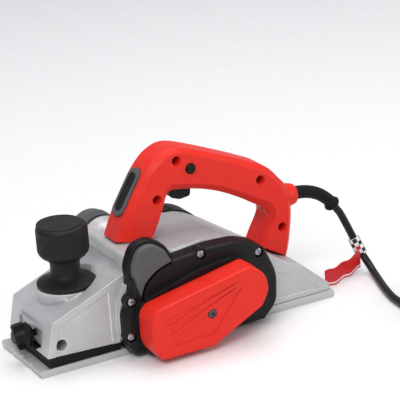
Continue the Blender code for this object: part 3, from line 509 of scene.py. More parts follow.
def rounded(corners, inward=0):
    """Corners (a, b, radius) as a polygon with arcs at its corners, moved inward."""
    sharp = inset([corner[:2] for corner in corners], inward)
    points = []
    for i, (_, _, radius) in enumerate(corners):
        here = Vector(sharp[i])
        to_last = Vector(sharp[i - 1]) - here
        to_next = Vector(sharp[(i + 1) % len(sharp)]) - here
        half = to_last.angle(to_next) / 2
        if half > NEARLY_STRAIGHT:
            points.append(tuple(here))
            continue
        cross = to_last.x * to_next.y - to_last.y * to_next.x
        bulges = (cross < 0) == (signed_area(sharp) > 0)
        radius = max(LEAST_RADIUS, radius - inward if bulges else radius + inward)
        most = MOST_OF_A_SIDE * min(to_last.length, to_next.length)
        reach = min(radius / math.tan(half), most)
        radius = reach * math.tan(half)
        halfway = (to_last.normalized() + to_next.normalized()).normalized()
        middle = here + halfway * (radius / math.sin(half))
        start = here + to_last.normalized() * reach - middle
        turn = math.pi - 2 * half if cross < 0 else 2 * half - math.pi
        steps = max(2, round((math.pi - 2 * half) / ARC_STEP))
        for k in range(steps + 1):
            points.append(tuple(middle + Matrix.Rotation(turn * k / steps, 2) @ start))
    return points


def placed(name, bm, finish=None, smooth=SMOOTH_ANGLE):
    """Makes an object of a bmesh, welded, with its normals outward and its round parts smooth."""
    bmesh.ops.remove_doubles(bm, verts=bm.verts, dist=WELD)
    bmesh.ops.recalc_face_normals(bm, faces=bm.faces)
    mesh = bpy.data.meshes.new(name)
    bm.to_mesh(mesh)
    bm.free()
    made = bpy.data.objects.new(name, mesh)
    bpy.context.scene.collection.objects.link(made)
    if finish:
        mesh.materials.append(FINISHES[finish])
    mesh.shade_smooth()
    mesh.set_sharp_from_angle(angle=math.radians(smooth))
    return made


def stacked(name, rings):
    """A closed solid through rings of points with equal numbers of points."""
    bm = bmesh.new()
    stations = [[bm.verts.new(point) for point in ring] for ring in rings]
    for here, following in zip(stations, stations[1:], strict=False):
        for k in range(len(here)):
            j = (k + 1) % len(here)
            bm.faces.new((here[k], here[j], following[j], following[k]))
    bm.faces.new(stations[0])
    bm.faces.new(stations[-1])
    return placed(name, bm)


def loft(name, sections):
    """A closed solid through side-view sections (y, outline)."""
    rings = [[at(x, y, z) for x, z in outline] for y, outline in sections]
    return stacked(name, rings)


def prism(outline, low, high):
    """A side-view outline between two stations across, for cutting or joining."""
    return loft("prism", [(low, outline), (high, outline)])


def block(low, high):
    """A box between two stations, for cutting."""
    (x0, y0, z0), (x1, y1, z1) = low, high
    return prism([(x0, z0), (x1, z0), (x1, z1), (x0, z1)], y0, y1)


AXES = {
    "X": Matrix.Rotation(math.pi / 2, 4, "Y"),
    "Y": Matrix.Rotation(-math.pi / 2, 4, "X"),
    "-Y": Matrix.Rotation(math.pi / 2, 4, "X"),
    "Z": Matrix.Identity(4),
}


def turned(name, profile, origin, axis="Z", finish=None, steps=64, ribs=None, closed=False):
    """A profile of (radius, height) turned about an axis through a station.

    ribs is an optional function (radius, height, angle) that gives the radius there. A closed
    profile is a loop, which makes a ring.
    """
    bm = bmesh.new()
    place = Matrix.Translation(at(*origin)) @ AXES[axis]
    rows = []
    for radius, height in profile:
        row = []
        for k in range(steps if radius else 1):
            a = 2 * math.pi * k / steps
            r = ribs(radius, height, a) if ribs else radius
            point = Vector((r * math.cos(a), r * math.sin(a), height)) * MM
            row.append(bm.verts.new(place @ point))
        rows.append(row)
    pairs = list(zip(rows, rows[1:], strict=False))
    if closed:
        pairs.append((rows[-1], rows[0]))
    for here, following in pairs:
        for k in range(steps):
            j = (k + 1) % steps
            corners = [here[k % len(here)], here[j % len(here)]]
            corners += [following[j % len(following)], following[k % len(following)]]
            distinct = list(dict.fromkeys(corners))
            if len(distinct) > 2:
                bm.faces.new(distinct)
    return placed(name, bm, finish)


def rod(radius, start, length, axis, steps=40):
    """A plain round bar from a start station along an axis, for cutting or joining."""
    profile = [(0, length), (radius, length), (radius, 0), (0, 0)]
    return turned("rod", profile, start, axis, steps=steps)


def boolean(made, other, operation):
    """Cuts or joins for good, and removes the other object."""
    step = made.modifiers.new("cut", "BOOLEAN")
    step.operation = operation
    step.object = other
    bpy.context.view_layer.update()
    evaluated = made.evaluated_get(bpy.context.evaluated_depsgraph_get())
    result = bpy.data.meshes.new_from_object(evaluated)
    made.modifiers.clear()
    old = made.data
    made.data = result
    bpy.data.meshes.remove(old)
    bpy.data.objects.remove(other, do_unlink=True)


def cut(made, *others):
    for other in others:
        boolean(made, other, "DIFFERENCE")


def join(made, other):
    boolean(made, other, "UNION")


def spun(made, centre, degrees, axis="Y"):
    """Turns a shape about an axis through a station."""
    there = Matrix.Translation(at(*centre))
    made.data.transform(there @ Matrix.Rotation(math.radians(degrees), 4, axis) @ there.inverted())
    return made


def merged(name, pieces):
    """Several shapes as one object, each with its own finish."""
    bm = bmesh.new()
    finishes = []
    for piece in pieces:
        first = len(bm.faces)
        bm.from_mesh(piece.data)
        bm.faces.ensure_lookup_table()
        for face in bm.faces[first:]:
            face.material_index += len(finishes)
        finishes.extend(piece.data.materials)
        bpy.data.objects.remove(piece, do_unlink=True)
    made = placed(name, bm)
    for finish in finishes:
        made.data.materials.append(finish)
    return made


def crisp(made, smooth=SMOOTH_ANGLE):
    """Cleans up a cut shape: whole flat faces stay flat, and only round stretches shade smooth."""
    bm = bmesh.new()
    bm.from_mesh(made.data)
    bmesh.ops.remove_doubles(bm, verts=bm.verts, dist=CUT_WELD)
    bmesh.ops.dissolve_limit(
        bm,
        angle_limit=FLAT_ANGLE,
        use_dissolve_boundaries=False,
        verts=bm.verts,
        edges=bm.edges,
    )
    bm.to_mesh(made.data)
    bm.free()
    made.data.shade_smooth()
    made.data.set_sharp_from_angle(angle=math.radians(smooth))
    flat = made.modifiers.new("flat faces", "WEIGHTED_NORMAL")
    flat.keep_sharp = True
    flat.weight = FLAT_WEIGHT
    return made


def stand_in(made, *nodes, finish):
    """Makes a finished piece stand for CAD nodes and ride with their body."""
    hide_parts(*nodes)
    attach(made, BODY_OF[nodes[0]])
    return made


def ready(made, node, finish):
    """Gives a rebuilt piece its final mesh and its finish, and lets it stand for its CAD node."""
    made.data.materials.clear()
    made.data.materials.append(FINISHES[finish])
    stand_in(crisp(made), node, finish=finish)


def carried(node, finish):
    """A copy of a CAD node's shape with whole flat faces and smooth round ones."""
    bm = bmesh.new()
    bm.from_mesh(frame["nodes"][node].data)
    made = placed(f"{node}_surface", bm, finish, CARRIED_SMOOTH_ANGLE)
    return stand_in(crisp(made, CARRIED_SMOOTH_ANGLE), node, finish=finish)


def plain(node, finish):
    """A node inside the casings keeps its own mesh and gets its material."""
    shown = frame["nodes"][node]
    shown.data.materials.clear()
    shown.data.materials.append(FINISHES[finish])


# ---------------------------------------------------------------- handle

# Handle stations as pairs: on the flat band round the middle, and on the side face.
# A third value marks a sharp corner.
HANDLE = [
    ((93.4, 91.6), (106, 90.2), True),
    ((102, 110.5), (111.8, 110)),
    ((111, 125.8), (119, 127)),
    ((118, 136.8), (126.4, 138.8)),
    ((125.4, 147), (132.6, 148)),
    ((134, 156), (140.6, 155.2)),
    ((143, 161.4), (147.6, 159.2)),
    ((152, 164), (155, 160.2)),
    ((163, 162.6), (163, 158.6)),
    ((182, 155.4), (181, 151.6)),
    ((204, 146), (202.6, 142.2)),
    ((226, 136), (224, 132.2)),
    ((245, 126), (242, 122)),
    ((257, 113), (252.5, 110)),
    ((265, 101.5), (260, 98)),
    ((267.8, 82), (263, 80)),
    ((265.3, 60), (260.8, 60)),
    ((262.2, 45), (257.8, 46)),
    ((259.8, 37.8), (256, 40), True),
    ((232, 53.2), (236, 52.2), True),
    ((236, 61), (240, 61)),
    ((243, 73), (247, 73)),
    ((245.6, 81), (249.8, 83)),
    ((241, 88.4), (244.6, 94)),
    ((231, 94.4), (232.6, 100.8)),
    ((216, 104), (217, 110)),
    ((198, 113.6), (199, 119.4)),
    ((178, 121), (178.6, 126.8)),
    ((157, 125.4), (157.4, 131.4)),
    ((147.4, 124.6), (146, 131.6)),
    ((141.6, 114), (139, 115)),
    ((135, 100), (132.4, 100)),
    ((128.5, 87.4), (126, 88.8), True),
    ((122, 90.4), (121, 90.2)),
    ((112, 91), (115.5, 90.8)),
]


HANDLE_STEPS = 5
# Each half stands HALF_GAP off the middle, and its hollow lies HANDLE_WALL inside the side
# face's outline.
HALF_GAP = 0.15
HANDLE_WALL = 1.4
# Fine seams on the side faces near the feet, as narrow strips.
SEAM_DEPTH = 0.4
HANDLE_SEAMS = (
    ((90, 109.2), (134, 100.6), (134, 101.2), (90, 109.8)),
    ((226, 64.2), (262, 48.2), (262, 48.8), (226, 64.8)),
)


def spline_run(points, steps):
    """A smooth open curve through points, without its last point."""
    p = np.array(points)
    p = np.vstack([2 * p[0] - p[1], p, 2 * p[-1] - p[-2]])
    made = []
    for a, b, c, d in zip(p[:-3], p[1:-2], p[2:-1], p[3:], strict=True):
        for t in np.arange(steps) / steps:
            curve = 2 * b + (c - a) * t
            curve = curve + (2 * a - 5 * b + 4 * c - d) * t**2 + (3 * b - a - 3 * c + d) * t**3
            made.append(tuple(0.5 * curve))
    return made


def handle_outlines():
    """The flat band's outline and the side face's outline, smooth between their sharp corners."""
    sharp = [i for i, station in enumerate(HANDLE) if len(station) > 2]
    outlines = ([], [])
    for start, stop in zip(sharp, sharp[1:] + [sharp[0] + len(HANDLE)], strict=True):
        for which, outline in enumerate(outlines):
            run = [HANDLE[i % len(HANDLE)][which] for i in range(start, stop + 1)]
            outline.extend(spline_run(run, HANDLE_STEPS))
    return outlines


def between(first, second, share):
    """The outline a share of the way from one outline to another."""
    return [
        (a[0] + (b[0] - a[0]) * share, a[1] + (b[1] - a[1]) * share)
        for a, b in zip(first, second, strict=True)
    ]


def handle_half(node, side):
    """One half of the closed handle, with broad facets, screw recesses and the lead's boss."""
    flat, face = handle_outlines()
    half = loft(
        node,
        [
            (side * HALF_GAP, inset(flat, 0.25)),
            (side * 0.5, flat),
            (side * 11.6, flat),
            (side * 12.5, between(flat, face, 0.07)),
            (side * 16.9, between(flat, face, 0.93)),
            (side * HANDLE_HALF, inset(face, 0.5)),
        ],
    )
    boss = [
        (0, 22), (6.9, 22), (7.6, 21.7), (9, 20.4), (9.8, 18.6), (10.4, 16), (11.4, 12), (12, 6),
        (12, 0), (0, 0),
    ]  # fmt: skip
    bulge = turned("boss", boss, (CORD_BOSS[0], 0, CORD_BOSS[1]), "X")
    low, high = sorted((-side * 30, side * HALF_GAP))
    cut(bulge, block((200, low, 60), (300, high, 120)))
    join(half, bulge)
    low, high = sorted((-side * 1, side * 13.5))
    cut(half, prism(inset([station[1] for station in HANDLE], HANDLE_WALL), low, high))
    cut(half, rod(GUARD_R + 0.3, (250, 0, CORD_BOSS[1]), 40, "X"))
    cut(half, prism([(149, 105), (149, 140), (175.5, 140), (175.5, 105)], -6.8, 6.8))
    recess = [(0, 30), (4.5, 30), (4.5, 17), (3.8, 15.8), (3.8, 6.5), (0, 6.5)]
    for x, z in HANDLE_SCREWS:
        join(half, rod(4.9, (x, min(side * HALF_GAP, side * 14.5), z), 14.3, "Y"))
        if side < 0:
            cut(half, turned("recess", recess, (x, 0, z), "-Y"))
        start, length = (-18.5, 19) if side < 0 else (0, 12)
        cut(half, rod(1.75, (x, start, z), length, "Y", steps=24))
    cut(half, badge_solid("seat", 45.8, 19.2, -4, 1.4))
    if side < 0:
        cut(half, rod(4.9, (LOCK[0], -20, LOCK[1]), 10, "Y"))
    outer = sorted((side * (HANDLE_HALF - SEAM_DEPTH), side * 20))
    for line in HANDLE_SEAMS:
        cut(half, prism(line, *outer))
    return half


def badge_solid(name, length, width, front, back, ease=0):
    """A round-ended plaque on the leaning front of the handle, from its face to its back."""
    a, b, radius = length / 2, width / 2, width * 0.42
    corners = [(-a, -b, radius), (a, -b, radius), (a, b, radius), (-a, b, radius)]
    levels = [(front, ease), (front + ease, 0), (back, 0)] if ease else [(front, 0), (back, 0)]
    lean = Matrix.Rotation(math.radians(BADGE_LEAN), 4, "Y")
    place = Matrix.Translation(at(BADGE[0], 0, BADGE[1])) @ lean
    rings = [
        [place @ (Vector((level, b, a)) * MM) for a, b in rounded(corners, inward)]
        for level, inward in levels
    ]
    return stacked(name, rings)


def badge():
    """The dark grey plaque with a sunken black field, left blank."""
    plate = badge_solid("badge_plate_surface", 45.2, 18.6, -1.9, 1.1, ease=0.7)
    cut(plate, badge_solid("field", 36, 12.4, -4, -1.0))
    ready(plate, "badge_plate", "grey")
    field = badge_solid("badge_field", 35.8, 12.2, -1.35, -0.8, ease=0.25)
    field.data.materials.append(FINISHES["black"])
    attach(field, "planer")
    crisp(field)


def handle():
    for node, side in (("handle_left", -1), ("handle_right", 1)):
        half = handle_half(f"{node}_surface", side)
        ready(half, node, "red")
    badge()


# ---------------------------------------------------------------- front and clamp

FLUTES = 48
FLUTE_DEPTH = 0.6
FLUTES_FROM_RADIUS = 20
NOTCH_DEPTH = 2.2
NOTCH_HALF = 3.4


def flutes(radius, height, angle):
    """Fine flutes round the knob's side, which fade out towards its rims."""
    if radius < FLUTES_FROM_RADIUS:
        return radius
    share = min(1, max(0, (height - 91) / 3)) * min(1, max(0, (110.5 - height) / 2.5))
    return radius - FLUTE_DEPTH * share * (0.5 + 0.5 * math.cos(FLUTES * angle))


def front_shoe():
    """The front shoe with the small notches in its front edge."""
    bm = bmesh.new()
    bm.from_mesh(frame["nodes"]["front_shoe"].data)
    shoe = placed("front_shoe_surface", bm)
    for y in (-20, 0, 20):
        notch = [(-1, y - NOTCH_HALF), (NOTCH_DEPTH, y), (-1, y + NOTCH_HALF)]
        cut(shoe, stacked("notch", [[at(a, b, z) for a, b in notch] for z in (-1, 30)]))
    ready(shoe, "front_shoe", "machined")


def depth_knob():
    """The fluted knob: a flat disc on top, a waisted neck and a wide thin skirt."""
    profile = [
        (0, 115.9), (18.8, 115.9), (20.4, 115.6), (21.6, 114.8), (22.3, 113.4), (22.6, 111.4),
        (22.6, 109.8), (22.6, 107.6), (22.6, 103), (22.6, 98), (22.6, 94.6), (22.3, 92.6),
        (21.4, 90.4), (19.6, 88.2), (16.8, 86.2), (14.2, 84.8), (13.4, 83.2), (13, 80), (13, 75),
        (13.3, 72.4), (14.4, 70.2), (17, 68.2), (22, 66), (25.2, 64.7), (26, 64), (26, 62),
        (25.5, 61.3), (5.6, 61.3), (5.6, 98), (0, 98),
    ]  # fmt: skip
    knob = turned("depth_knob_surface", profile, (KNOB_X, 0, 0), steps=288, ribs=flutes)
    disc = [(0, 1.2), (18.6, 1.2), (19.4, 0.95), (19.8, 0.4), (19.8, -1), (0, -1)]
    join(knob, turned("disc", disc, (KNOB_X - 1, 2, 115.9), steps=72))
    ready(knob, "depth_knob", "charcoal")


def clamp_bolt():
    """The wing bolt in the nose, with its thick round flange and soft edges."""
    profile = [
        (0, 16.6), (2.9, 16.6), (2.9, 11.7), (7.2, 11.5), (8.2, 10.8), (9, 9.4), (9.8, 8.9),
        (10.4, 8.2), (10.4, 5.8), (9.8, 5), (8.4, 3.9), (7.4, 1.6), (6.6, -2.6), (6.1, -4.4),
        (5.2, -5.3), (4, -5.5), (0, -5.5),
    ]  # fmt: skip
    bolt = turned("guide_clamp_bolt_surface", profile, (0, 0, ROD_Z), "X", steps=56)
    z = ROD_Z
    wing = [
        (5.5, z + 12.5, 2), (-6.3, z + 11.6, 2.6), (-3.6, z - 6, 6), (-1.2, z - 12.7, 2),
        (6.5, z - 12, 3),
    ]  # fmt: skip
    sides = ((-2.6, 1.1), (-2.3, 0.4), (-1.6, 0), (1.6, 0), (2.3, 0.4), (2.6, 1.1))
    join(bolt, loft("wing", [(y, rounded(wing, inward)) for y, inward in sides]))
    ready(bolt, "guide_clamp_bolt", "black")


def soft_pieces():
    """The seal and the spring, which the front shoe squeezes from below as it rises, each carried
    over on a mesh of its own.
    """
    seal = carried("shoe_seal", "rubber")
    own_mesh(seal)
    spring = carried("shoe_spring", "steel")
    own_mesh(spring)


def cross_screw(node, x, y, z, head, shank, length, finish, turn):
    """A pan-head screw along +Y with a cross recess in its head."""
    profile = [
        (0, length), (shank, length), (shank, 0), (head, 0), (head, -0.9), (0.96 * head, -1.4),
        (0.84 * head, -1.9), (0.66 * head, -2.25), (0.4 * head, -2.45), (0, -2.5),
    ]  # fmt: skip
    made = turned(f"{node}_surface", profile, (x, y, z), "Y", steps=40)
    reach, half = 0.58 * head, 0.14 * head
    for wide, tall in ((reach, half), (half, reach)):
        slot = block((x - wide, y - 4, z - tall), (x + wide, y - 1.0, z + tall))
        cut(made, spun(slot, (x, y, z), turn))
    ready(made, node, finish)


# ---------------------------------------------------------------- belt side


def belt_housing():
    """The black housing with the raised lip round the cover and the surround of the dome."""
    steps = ((-41.3, 0), (-51, 0.5), (-54.2, 1.1), (-55.7, 2.1), (-56.6, 3.2), (-57, 4.5))
    housing = loft("belt_housing_surface", [(y, rounded(HOUSING, inward)) for y, inward in steps])
    lip = ((-50, 0), (-60.9, 0), (-61.6, 0.25), (-62, 0.9))
    join(housing, loft("lip", [(y, rounded(COLLAR, inward)) for y, inward in lip]))
    surround = ((-42, -3.2), (-49.5, -3), (-50.6, -2.5), (-51, -1.8))
    join(housing, loft("surround", [(y, rounded(DOME, inward)) for y, inward in surround]))
    cut(
        housing,
        prism(rounded(DOME, -0.3), -70, -47.6),
        prism(rounded(COVER, 3.2), -70, -54),
        block((90, -42.3, -1), (290, -38, 7.6)),
        block((60, -42.3, -1), (85.6, -38, 18.6)),
        rod(DUCT_R + 0.3, (DUCT[0], -42.8, DUCT[1]), 9, "Y"),
        rod(13.6, (DRUM[0], -70, DRUM[1]), 30, "Y"),
        rod(13.3, (MOTOR[0], -70, MOTOR[1]), 30, "Y"),
        prism(rounded(COVER, -0.3), -70, -60.5),
    )
    for x, z in HOUSING_SCREWS:
        join(housing, rod(6.2, (x, -55.6, z), 9.1, "Y"))
        hole = [(0, 20), (2.2, 20), (2.2, 7), (4.6, 7), (4.6, 0), (0, 0)]
        cut(housing, turned("screw_hole", hole, (x, -60, z), "Y"))
    ready(housing, "belt_housing", "black")


def chip_hood():
    """The dark grey dome over the near end of the chip duct."""
    steps = ((-47.9, 0), (-52.8, 0.3), (-54.2, 0.6), (-55.2, 1.2), (-55.8, 1.8), (-56, 2.4))
    dome = loft("chip_hood_near_surface", [(y, rounded(DOME, inward)) for y, inward in steps])
    cut(dome, rod(10.5, (DUCT[0], -53, 86.5), 8, "Y"))
    ready(dome, "chip_hood_near", "grey")


def belt_cover():
    """The red cover over the belt, with three converging steps on its face."""
    steps = ((-60.8, 0), (-80.8, 0.75), (-82.6, 1.05), (-83.5, 1.6), (-84, 2.6))
    cover = loft("belt_cover_surface", [(y, rounded(COVER, inward)) for y, inward in steps])
    cut(cover, loft("room", [(-50, rounded(COVER, 2.6)), (-81, rounded(COVER, 2.8))]))
    for band in (
        [(100.4, 41.5), (103.2, 35), (176, 59.5)],
        [(103.8, 33), (105.6, 26), (176, 56)],
        [(106, 24), (107.5, 15.5), (145.5, 16.2), (176, 52.5)],
    ):
        cut(cover, prism(band, -85, -82.8))
    x, z = COVER_SCREW
    post = [(0, 22.6), (3.6, 22.6), (3.6, 5), (5.8, 3), (5.8, 0), (0, 0)]
    join(cover, turned("post", post, (x, -82.5, z), "Y"))
    hole = [(0, 30), (1.8, 30), (1.8, 2.8), (4.4, 2.8), (4.4, -1), (0, -1)]
    cut(cover, turned("screw_hole", hole, (x, -84, z), "Y"))
    ready(cover, "belt_cover", "red")


def belt_side():
    belt_housing()
    chip_hood()
    belt_cover()
    for i, (x, z) in enumerate(HOUSING_SCREWS):
        cross_screw(f"housing_screw_{i + 1}", x, -53.3, z, 3.9, 1.8, 6.6, "steel", 25 + 40 * i)
    x, z = COVER_SCREW
    cross_screw("belt_cover_screw", x, -81.5, z, 3.9, 1.5, 18, "iron", 20)


# ---------------------------------------------------------------- far side


def motor_cover():
    """The motor's black end cover with its vents, ring groove and brush caps."""
    (x, z), r, length = MOTOR, MOTOR_COVER_R, MOTOR_COVER_LENGTH
    profile = [
        (0, length), (r - 12, length), (r - 7.4, length - 0.9), (r - 4, length - 3),
        (r - 1.6, length - 5.6), (r - 0.3, length - 8.6), (r, length - 11), (r, 0), (r - 2.6, 0),
        (r - 2.6, length - 9), (r - 6, length - 5.6), (r - 13, length - 3), (0, length - 3),
    ]  # fmt: skip
    cover = turned("motor_cover_surface", profile, (x, MOTOR_COVER_START, z), "Y", steps=96)
    seat = turned("seat", [(9.3, 0), (12, 0), (12, 14), (9.3, 14)], (x, 57.5, z), "Y", closed=True)
    join(cover, seat)
    groove = [(10, 0), (11, 0), (11, 3), (10, 3)]
    cut(cover, turned("groove", groove, (x, 72.3, z), "Y", closed=True))
    for k in range(8):
        cut(cover, spun(block((x - 2, 66, z + 15), (x + 2, 80, z + 29)), (x, 0, z), 45 * k + 22.5))
    for side in (-1, 1):
        start = z + side * 25 - (20 if side < 0 else 0)
        cut(cover, rod(7.3, (x, 50, start), 20, "Z"))
    ready(cover, "motor_cover", "black")
    cap = [(0, 5), (2.6, 5), (4.4, 4.7), (5.6, 4.2), (6.6, 3.6), (7, 2.8), (7, 0), (0, 0)]
    for i, side in enumerate((-1, 1)):
        base = (x, 50, z + side * (r - 3.4))
        made = turned(f"brush_cap_{i + 1}_surface", cap, base, steps=48)
        slot = block((x - 4.6, 49.3, base[2] + 3.7), (x + 4.6, 50.7, base[2] + 9))
        cut(made, slot)
        if side < 0:
            spun(made, base, 180, "X")
        ready(made, f"brush_cap_{i + 1}", "black")


def chip_outlet():
    """The chip spout on the far side, open at its end, with a ribbed collar."""
    r = DUCT_R
    profile = [
        (r - 3.4, 24), (r - 1.8, 24), (r - 1.4, 23.6), (r - 1.4, 20.4), (r - 1, 19),
        (r - 0.2, 17.4), (r, 16), (r, 9.6), (r - 0.7, 9.2), (r - 0.7, 8), (r, 7.6), (r, 5.6),
        (r - 0.7, 5.2), (r - 0.7, 4), (r, 3.6), (r, 0.3), (14, 0.3), (14, 3), (r - 3.4, 6),
    ]  # fmt: skip
    place = (DUCT[0], 46, DUCT[1])
    made = turned("chip_outlet_far_surface", profile, place, "Y", steps=96, closed=True)
    ready(made, "chip_outlet_far", "grey")


def drum_cap():
    """The round cap over the drum's far bearing, with a shallow dish in it."""
    profile = [
        (0, 8.4), (8.4, 8.4), (9.2, 9), (12, 9), (13.4, 8.7), (14.8, 7.9), (15.5, 6.8), (15.5, 0),
        (13.4, 0), (13.4, 6.3), (0, 6.3),
    ]  # fmt: skip
    made = turned("drum_end_cap_surface", profile, (DRUM[0], 46.3, DRUM[1]), "Y", steps=72)
    ready(made, "drum_end_cap", "black")


# ---------------------------------------------------------------- controls


def trigger():
    """The trigger with soft edges, the lock button and the handle's screws."""
    outline = [
        (149.6, 134, 2), (149.6, 126, 2), (153, 116.5, 4), (161, 113.2, 8), (171.5, 114.5, 3),
        (173.2, 127, 2), (173.2, 131, 1),
    ]  # fmt: skip
    sides = ((-6.3, 0.9), (-6.0, 0.35), (-5.3, 0), (5.3, 0), (6.0, 0.35), (6.3, 0.9))
    lever = loft("trigger_surface", [(y, rounded(outline, inward)) for y, inward in sides])
    x, z = TRIGGER_PIVOT
    cut(lever, rod(1.6, (x, -10, z - 2), 20, "Y"))
    ready(lever, "trigger", "black")
    profile = [
        (0, 7.6), (1.6, 7.7), (2.9, 8), (3.6, 7.9), (4.3, 7.3), (4.6, 6.5), (4.6, 1.4), (6, 1.4),
        (6, 0), (0, 0),
    ]  # fmt: skip
    button = turned("lock_button_surface", profile, (LOCK[0], LOCK_Y, LOCK[1]), "-Y", steps=48)
    ready(button, "lock_button", "black")
    for i, (a, b) in enumerate(HANDLE_SCREWS):
        cross_screw(f"handle_screw_{i + 1}", a, -6.8, b, 2.9, 1.4, 16, "iron", 15 + 35 * i)


# ---------------------------------------------------------------- cord

# The wrap's place on the lead, as points 2 mm apart from its start.
WRAP_PLACE = slice(19, 29)


def smooth_route(stations, spacing):
    """Evenly spaced points in metres on a smooth curve through given points."""
    fine = np.array(spline_run(stations, 24) + [tuple(stations[-1])])
    along = np.concatenate([[0], np.cumsum(np.linalg.norm(np.diff(fine, axis=0), axis=1))])
    wanted = np.linspace(0, along[-1], round(along[-1] / (spacing * MM)) + 1)
    return np.stack([np.interp(wanted, along, fine[:, k]) for k in range(3)], axis=1)


def eased(t):
    return t * t * (3 - 2 * t)


def coil_points():
    """The wound turns: each keeps its radius and level, then eases over to the next one's."""
    per_turn, share = 36, 0.22
    points = []
    for (radius, level), following in zip(COIL_TURNS, COIL_TURNS[1:] + (COIL_END,), strict=True):
        for k in range(per_turn):
            t = k / per_turn
            shift = eased(max(0.0, (t - (1 - share)) / share))
            r = radius + (following[0] - radius) * shift
            z = level + (following[1] - level) * shift
            a = math.pi + 2 * math.pi * t
            points.append((r * math.cos(a), r * math.sin(a), z))
    return points


def rise_points():
    """From the last turn over the coil into the plug's tail, as offsets from the coil's centre."""
    radius, level = COIL_END
    x_end, y_end, z_end = PLUG_TAIL
    bend = 28.0
    middle = x_end - bend
    points = []
    for k in range(18):
        t = math.pi / 2 * k / 18
        points.append((middle - (radius + middle) * math.cos(t), (y_end - bend) * math.sin(t)))
    for k in range(13):
        t = math.pi / 2 * k / 12
        points.append((middle + bend * math.sin(t), y_end - bend * math.cos(t)))
    points.append((x_end, y_end + 4))
    steps = [math.dist(p, q) for p, q in zip(points, points[1:], strict=False)]
    return [
        (x, y, level + (z_end - level) * eased(min(1.0, sum(steps[:k]) / 62)))
        for k, (x, y) in enumerate(points)
    ]


def round_bar(name, points, radius, finish):
    """A round bar on a line of points in metres."""
    data = bpy.data.curves.new(name, "CURVE")
    data.dimensions = "3D"
    data.bevel_depth = radius * MM
    data.bevel_resolution = 6
    data.use_fill_caps = True
    spline = data.splines.new("POLY")
    spline.points.add(len(points) - 1)
    for point, place in zip(spline.points, points, strict=True):
        point.co = (*place, 1)
    spline.use_smooth = True
    made = bpy.data.objects.new(name, data)
    bpy.context.scene.collection.objects.link(made)
    data.materials.append(FINISHES[finish])
    return made


def lead():
    """The whole lead: the loose run, the coil's turns and the rise into the plug."""
    x, y = COIL_CENTRE
    start = (x - COIL_TURNS[0][0] * MM, RUN_END_Y, COIL_TURNS[0][1] * MM)
    points = [tuple(p) for p in smooth_route(CORD_ROUTE[:-1] + [start], 4)]
    points += [(x + a * MM, y + b * MM, c * MM) for a, b, c in coil_points() + rise_points()]
    cord = round_bar("mains_lead", points, CORD_R, "lead")
    stand_in(cord, "cord", "cord_coil", finish="lead")
    return cord


def swept(name, line, radii, steps=40):
    """Rings of the given radii round a line of points in metres, as a closed solid."""
    up = Vector((0, 1, 0))
    rings = []
    for k, radius in enumerate(radii):
        heading = Vector(line[min(k + 1, len(line) - 1)]) - Vector(line[max(k - 1, 0)])
        side = heading.normalized().cross(up).normalized()
        up = side.cross(heading.normalized())
        turn = [2 * math.pi * j / steps for j in range(steps)]
        centre = Vector(line[k])
        rings.append([centre + (side * math.cos(a) + up * math.sin(a)) * radius * MM for a in turn])
    return stacked(name, rings)


def cord_guard():
    """The smooth rubber guard, which ends in a round collar."""
    line = smooth_route(GUARD_ROUTE, 1.0)
    last = len(line) - 1
    radii = []
    for k in range(len(line)):
        left = last - k
        base = GUARD_R - 0.6 * k / last
        swell = (7.6 - base) * math.exp(-(((left - 4.2) / 2.6) ** 2))
        radii.append((base + swell) * min(1.0, 0.72 + 0.14 * left))
    ready(swept("cord_guard_surface", line, radii), "cord_guard", "rubber")


def cord_tag():
    """The tie on the lead: a chequered wrap round it and a curved red strip with a white line."""
    line = smooth_route(CORD_ROUTE, 2.0)
    wrap_line = line[WRAP_PLACE]
    around = 16
    wrap = swept("wrap", wrap_line, [5.0, 5.4] + [5.5] * 6 + [5.4, 5.0], around)
    for name in ("tag_white", "tag_black", "tag_red"):
        wrap.data.materials.append(FINISHES[name])
    for face in wrap.data.polygons[: (len(wrap_line) - 1) * around]:
        ring, column = divmod(face.index, around)
        check = (ring // 2 + column // 2) % 2
        face.material_index = 2 if ring // 2 == 2 and check else check
    half = 8.0 * MM
    thin = 0.45 * MM
    levels = (-half, -half + 1.6 * MM, -half + 2.8 * MM, half)
    route = smooth_route(TAG_ROUTE, 2.5)
    rings = []
    for k, place in enumerate(route):
        heading = Vector(route[min(k + 1, len(route) - 1)]) - Vector(route[max(k - 1, 0)])
        side = Vector((-heading.y, heading.x, 0)).normalized() * thin
        centre = Vector(place)
        lift = 0.9 * MM * math.sin(k * 0.8)
        near = [centre - side + Vector((0, 0, level + lift)) for level in levels]
        far = [centre + side + Vector((0, 0, level + lift)) for level in reversed(levels)]
        rings.append(near + far)
    strip = stacked("strip", rings)
    strip.data.materials.append(FINISHES["tag_red"])
    strip.data.materials.append(FINISHES["tag_white"])
    for face in strip.data.polygons[: (len(route) - 1) * len(rings[0])]:
        face.material_index = 1 if face.index % len(rings[0]) in (1, 5) else 0
    stand_in(merged("cord_tag_surface", [wrap, strip]), "cord_tag", finish="tag_red")


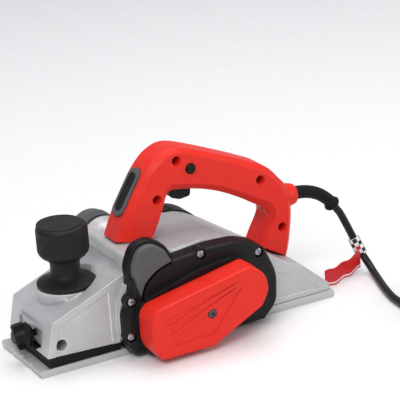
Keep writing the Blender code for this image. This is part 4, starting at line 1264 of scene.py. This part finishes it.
def plug():
    """The moulded plug lying on the coil: soft edges, finger ribs, a ribbed tail and steel pins."""
    x, y = COIL_CENTRE[0] / MM + PLUG_TAIL[0], COIL_CENTRE[1] / MM + 8
    low, high = 22.4, 35.4
    outline = [(-12, -17, 6), (12, -17, 6), (18, 12, 7), (16, 17, 3), (-16, 17, 3), (-18, 12, 7)]
    levels = ((low, 2.6), (low + 0.7, 1.1), (low + 2, 0.25), (low + 3.6, 0))
    levels += tuple((low + high - level, inward) for level, inward in reversed(levels))
    rings = [
        [Vector((x + a, y + b, z)) * MM for a, b in rounded(outline, inward)]
        for z, inward in levels
    ]
    body = stacked("plug_body", rings)
    middle = (low + high) / 2
    tail = [(0, 20), (3.9, 20), (4.2, 19.6)]
    for k in range(5):
        low_end = 18.4 - 3.1 * k
        radius = 4.4 + 0.26 * k
        tail += [(radius, low_end), (radius, low_end - 1.3)]
        tail += [(radius - 0.8, low_end - 1.6), (radius - 0.8, low_end - 2.7)]
    tail += [(5.9, 2.6), (5.9, 0), (0, 0)]
    station = x + ORIGIN_X
    join(body, turned("tail", tail, (station, y - 15, middle), "-Y", steps=48))
    for k in range(4):
        low_end = y - 7 + 5 * k
        groove = block((station - 9, low_end, high - 0.9), (station + 9, low_end + 1.8, high + 2))
        cut(body, groove)
    body.data.materials.append(FINISHES["rubber"])
    pin = [(0, 21), (1.6, 21), (2.2, 20.5), (2.4, 19.6), (2.4, 0), (0, 0)]
    pins = [
        turned("pin", pin, (station + side * 9.5, y + 16, middle), "Y", finish="steel", steps=32)
        for side in (-1, 1)
    ]
    made = merged("power_plug_surface", [body, *pins])
    stand_in(crisp(made), "power_plug", finish="rubber")


# ---------------------------------------------------------------- everything

camera()
studio()
for node_name, finish_name in {
    "body_casting": "casting",
    "rear_shoe": "machined",
    "cutter_drum": "machined",
    "shoe_screw_1": "steel",
    "shoe_screw_2": "steel",
}.items():
    carried(node_name, finish_name)
for finish_name, node_names in {
    "iron": ("armature_core", "stator_core", "blade_clamp_1", "blade_clamp_2"),
    "steel": (
        "armature_shaft", "drum_bearing_near", "drum_bearing_far", "motor_bearing_near",
        "motor_bearing_far", "motor_pulley", "blade_1", "blade_2", "depth_stud", "trigger_pin",
    ),
    "machined": ("drum_pulley",),
    "copper": (
        "commutator", "field_winding_near", "field_winding_far", "brush_holder_1", "brush_holder_2",
    ),
    "black": ("cooling_fan", "switch_body"),
    "rubber": ("drive_belt",),
}.items():  # fmt: skip
    for node_name in node_names:
        plain(node_name, finish_name)
soft_pieces()
front_shoe()
depth_knob()
clamp_bolt()
belt_side()
motor_cover()
chip_outlet()
drum_cap()
handle()
trigger()
cord_guard()
cord_tag()
plug()
lead()
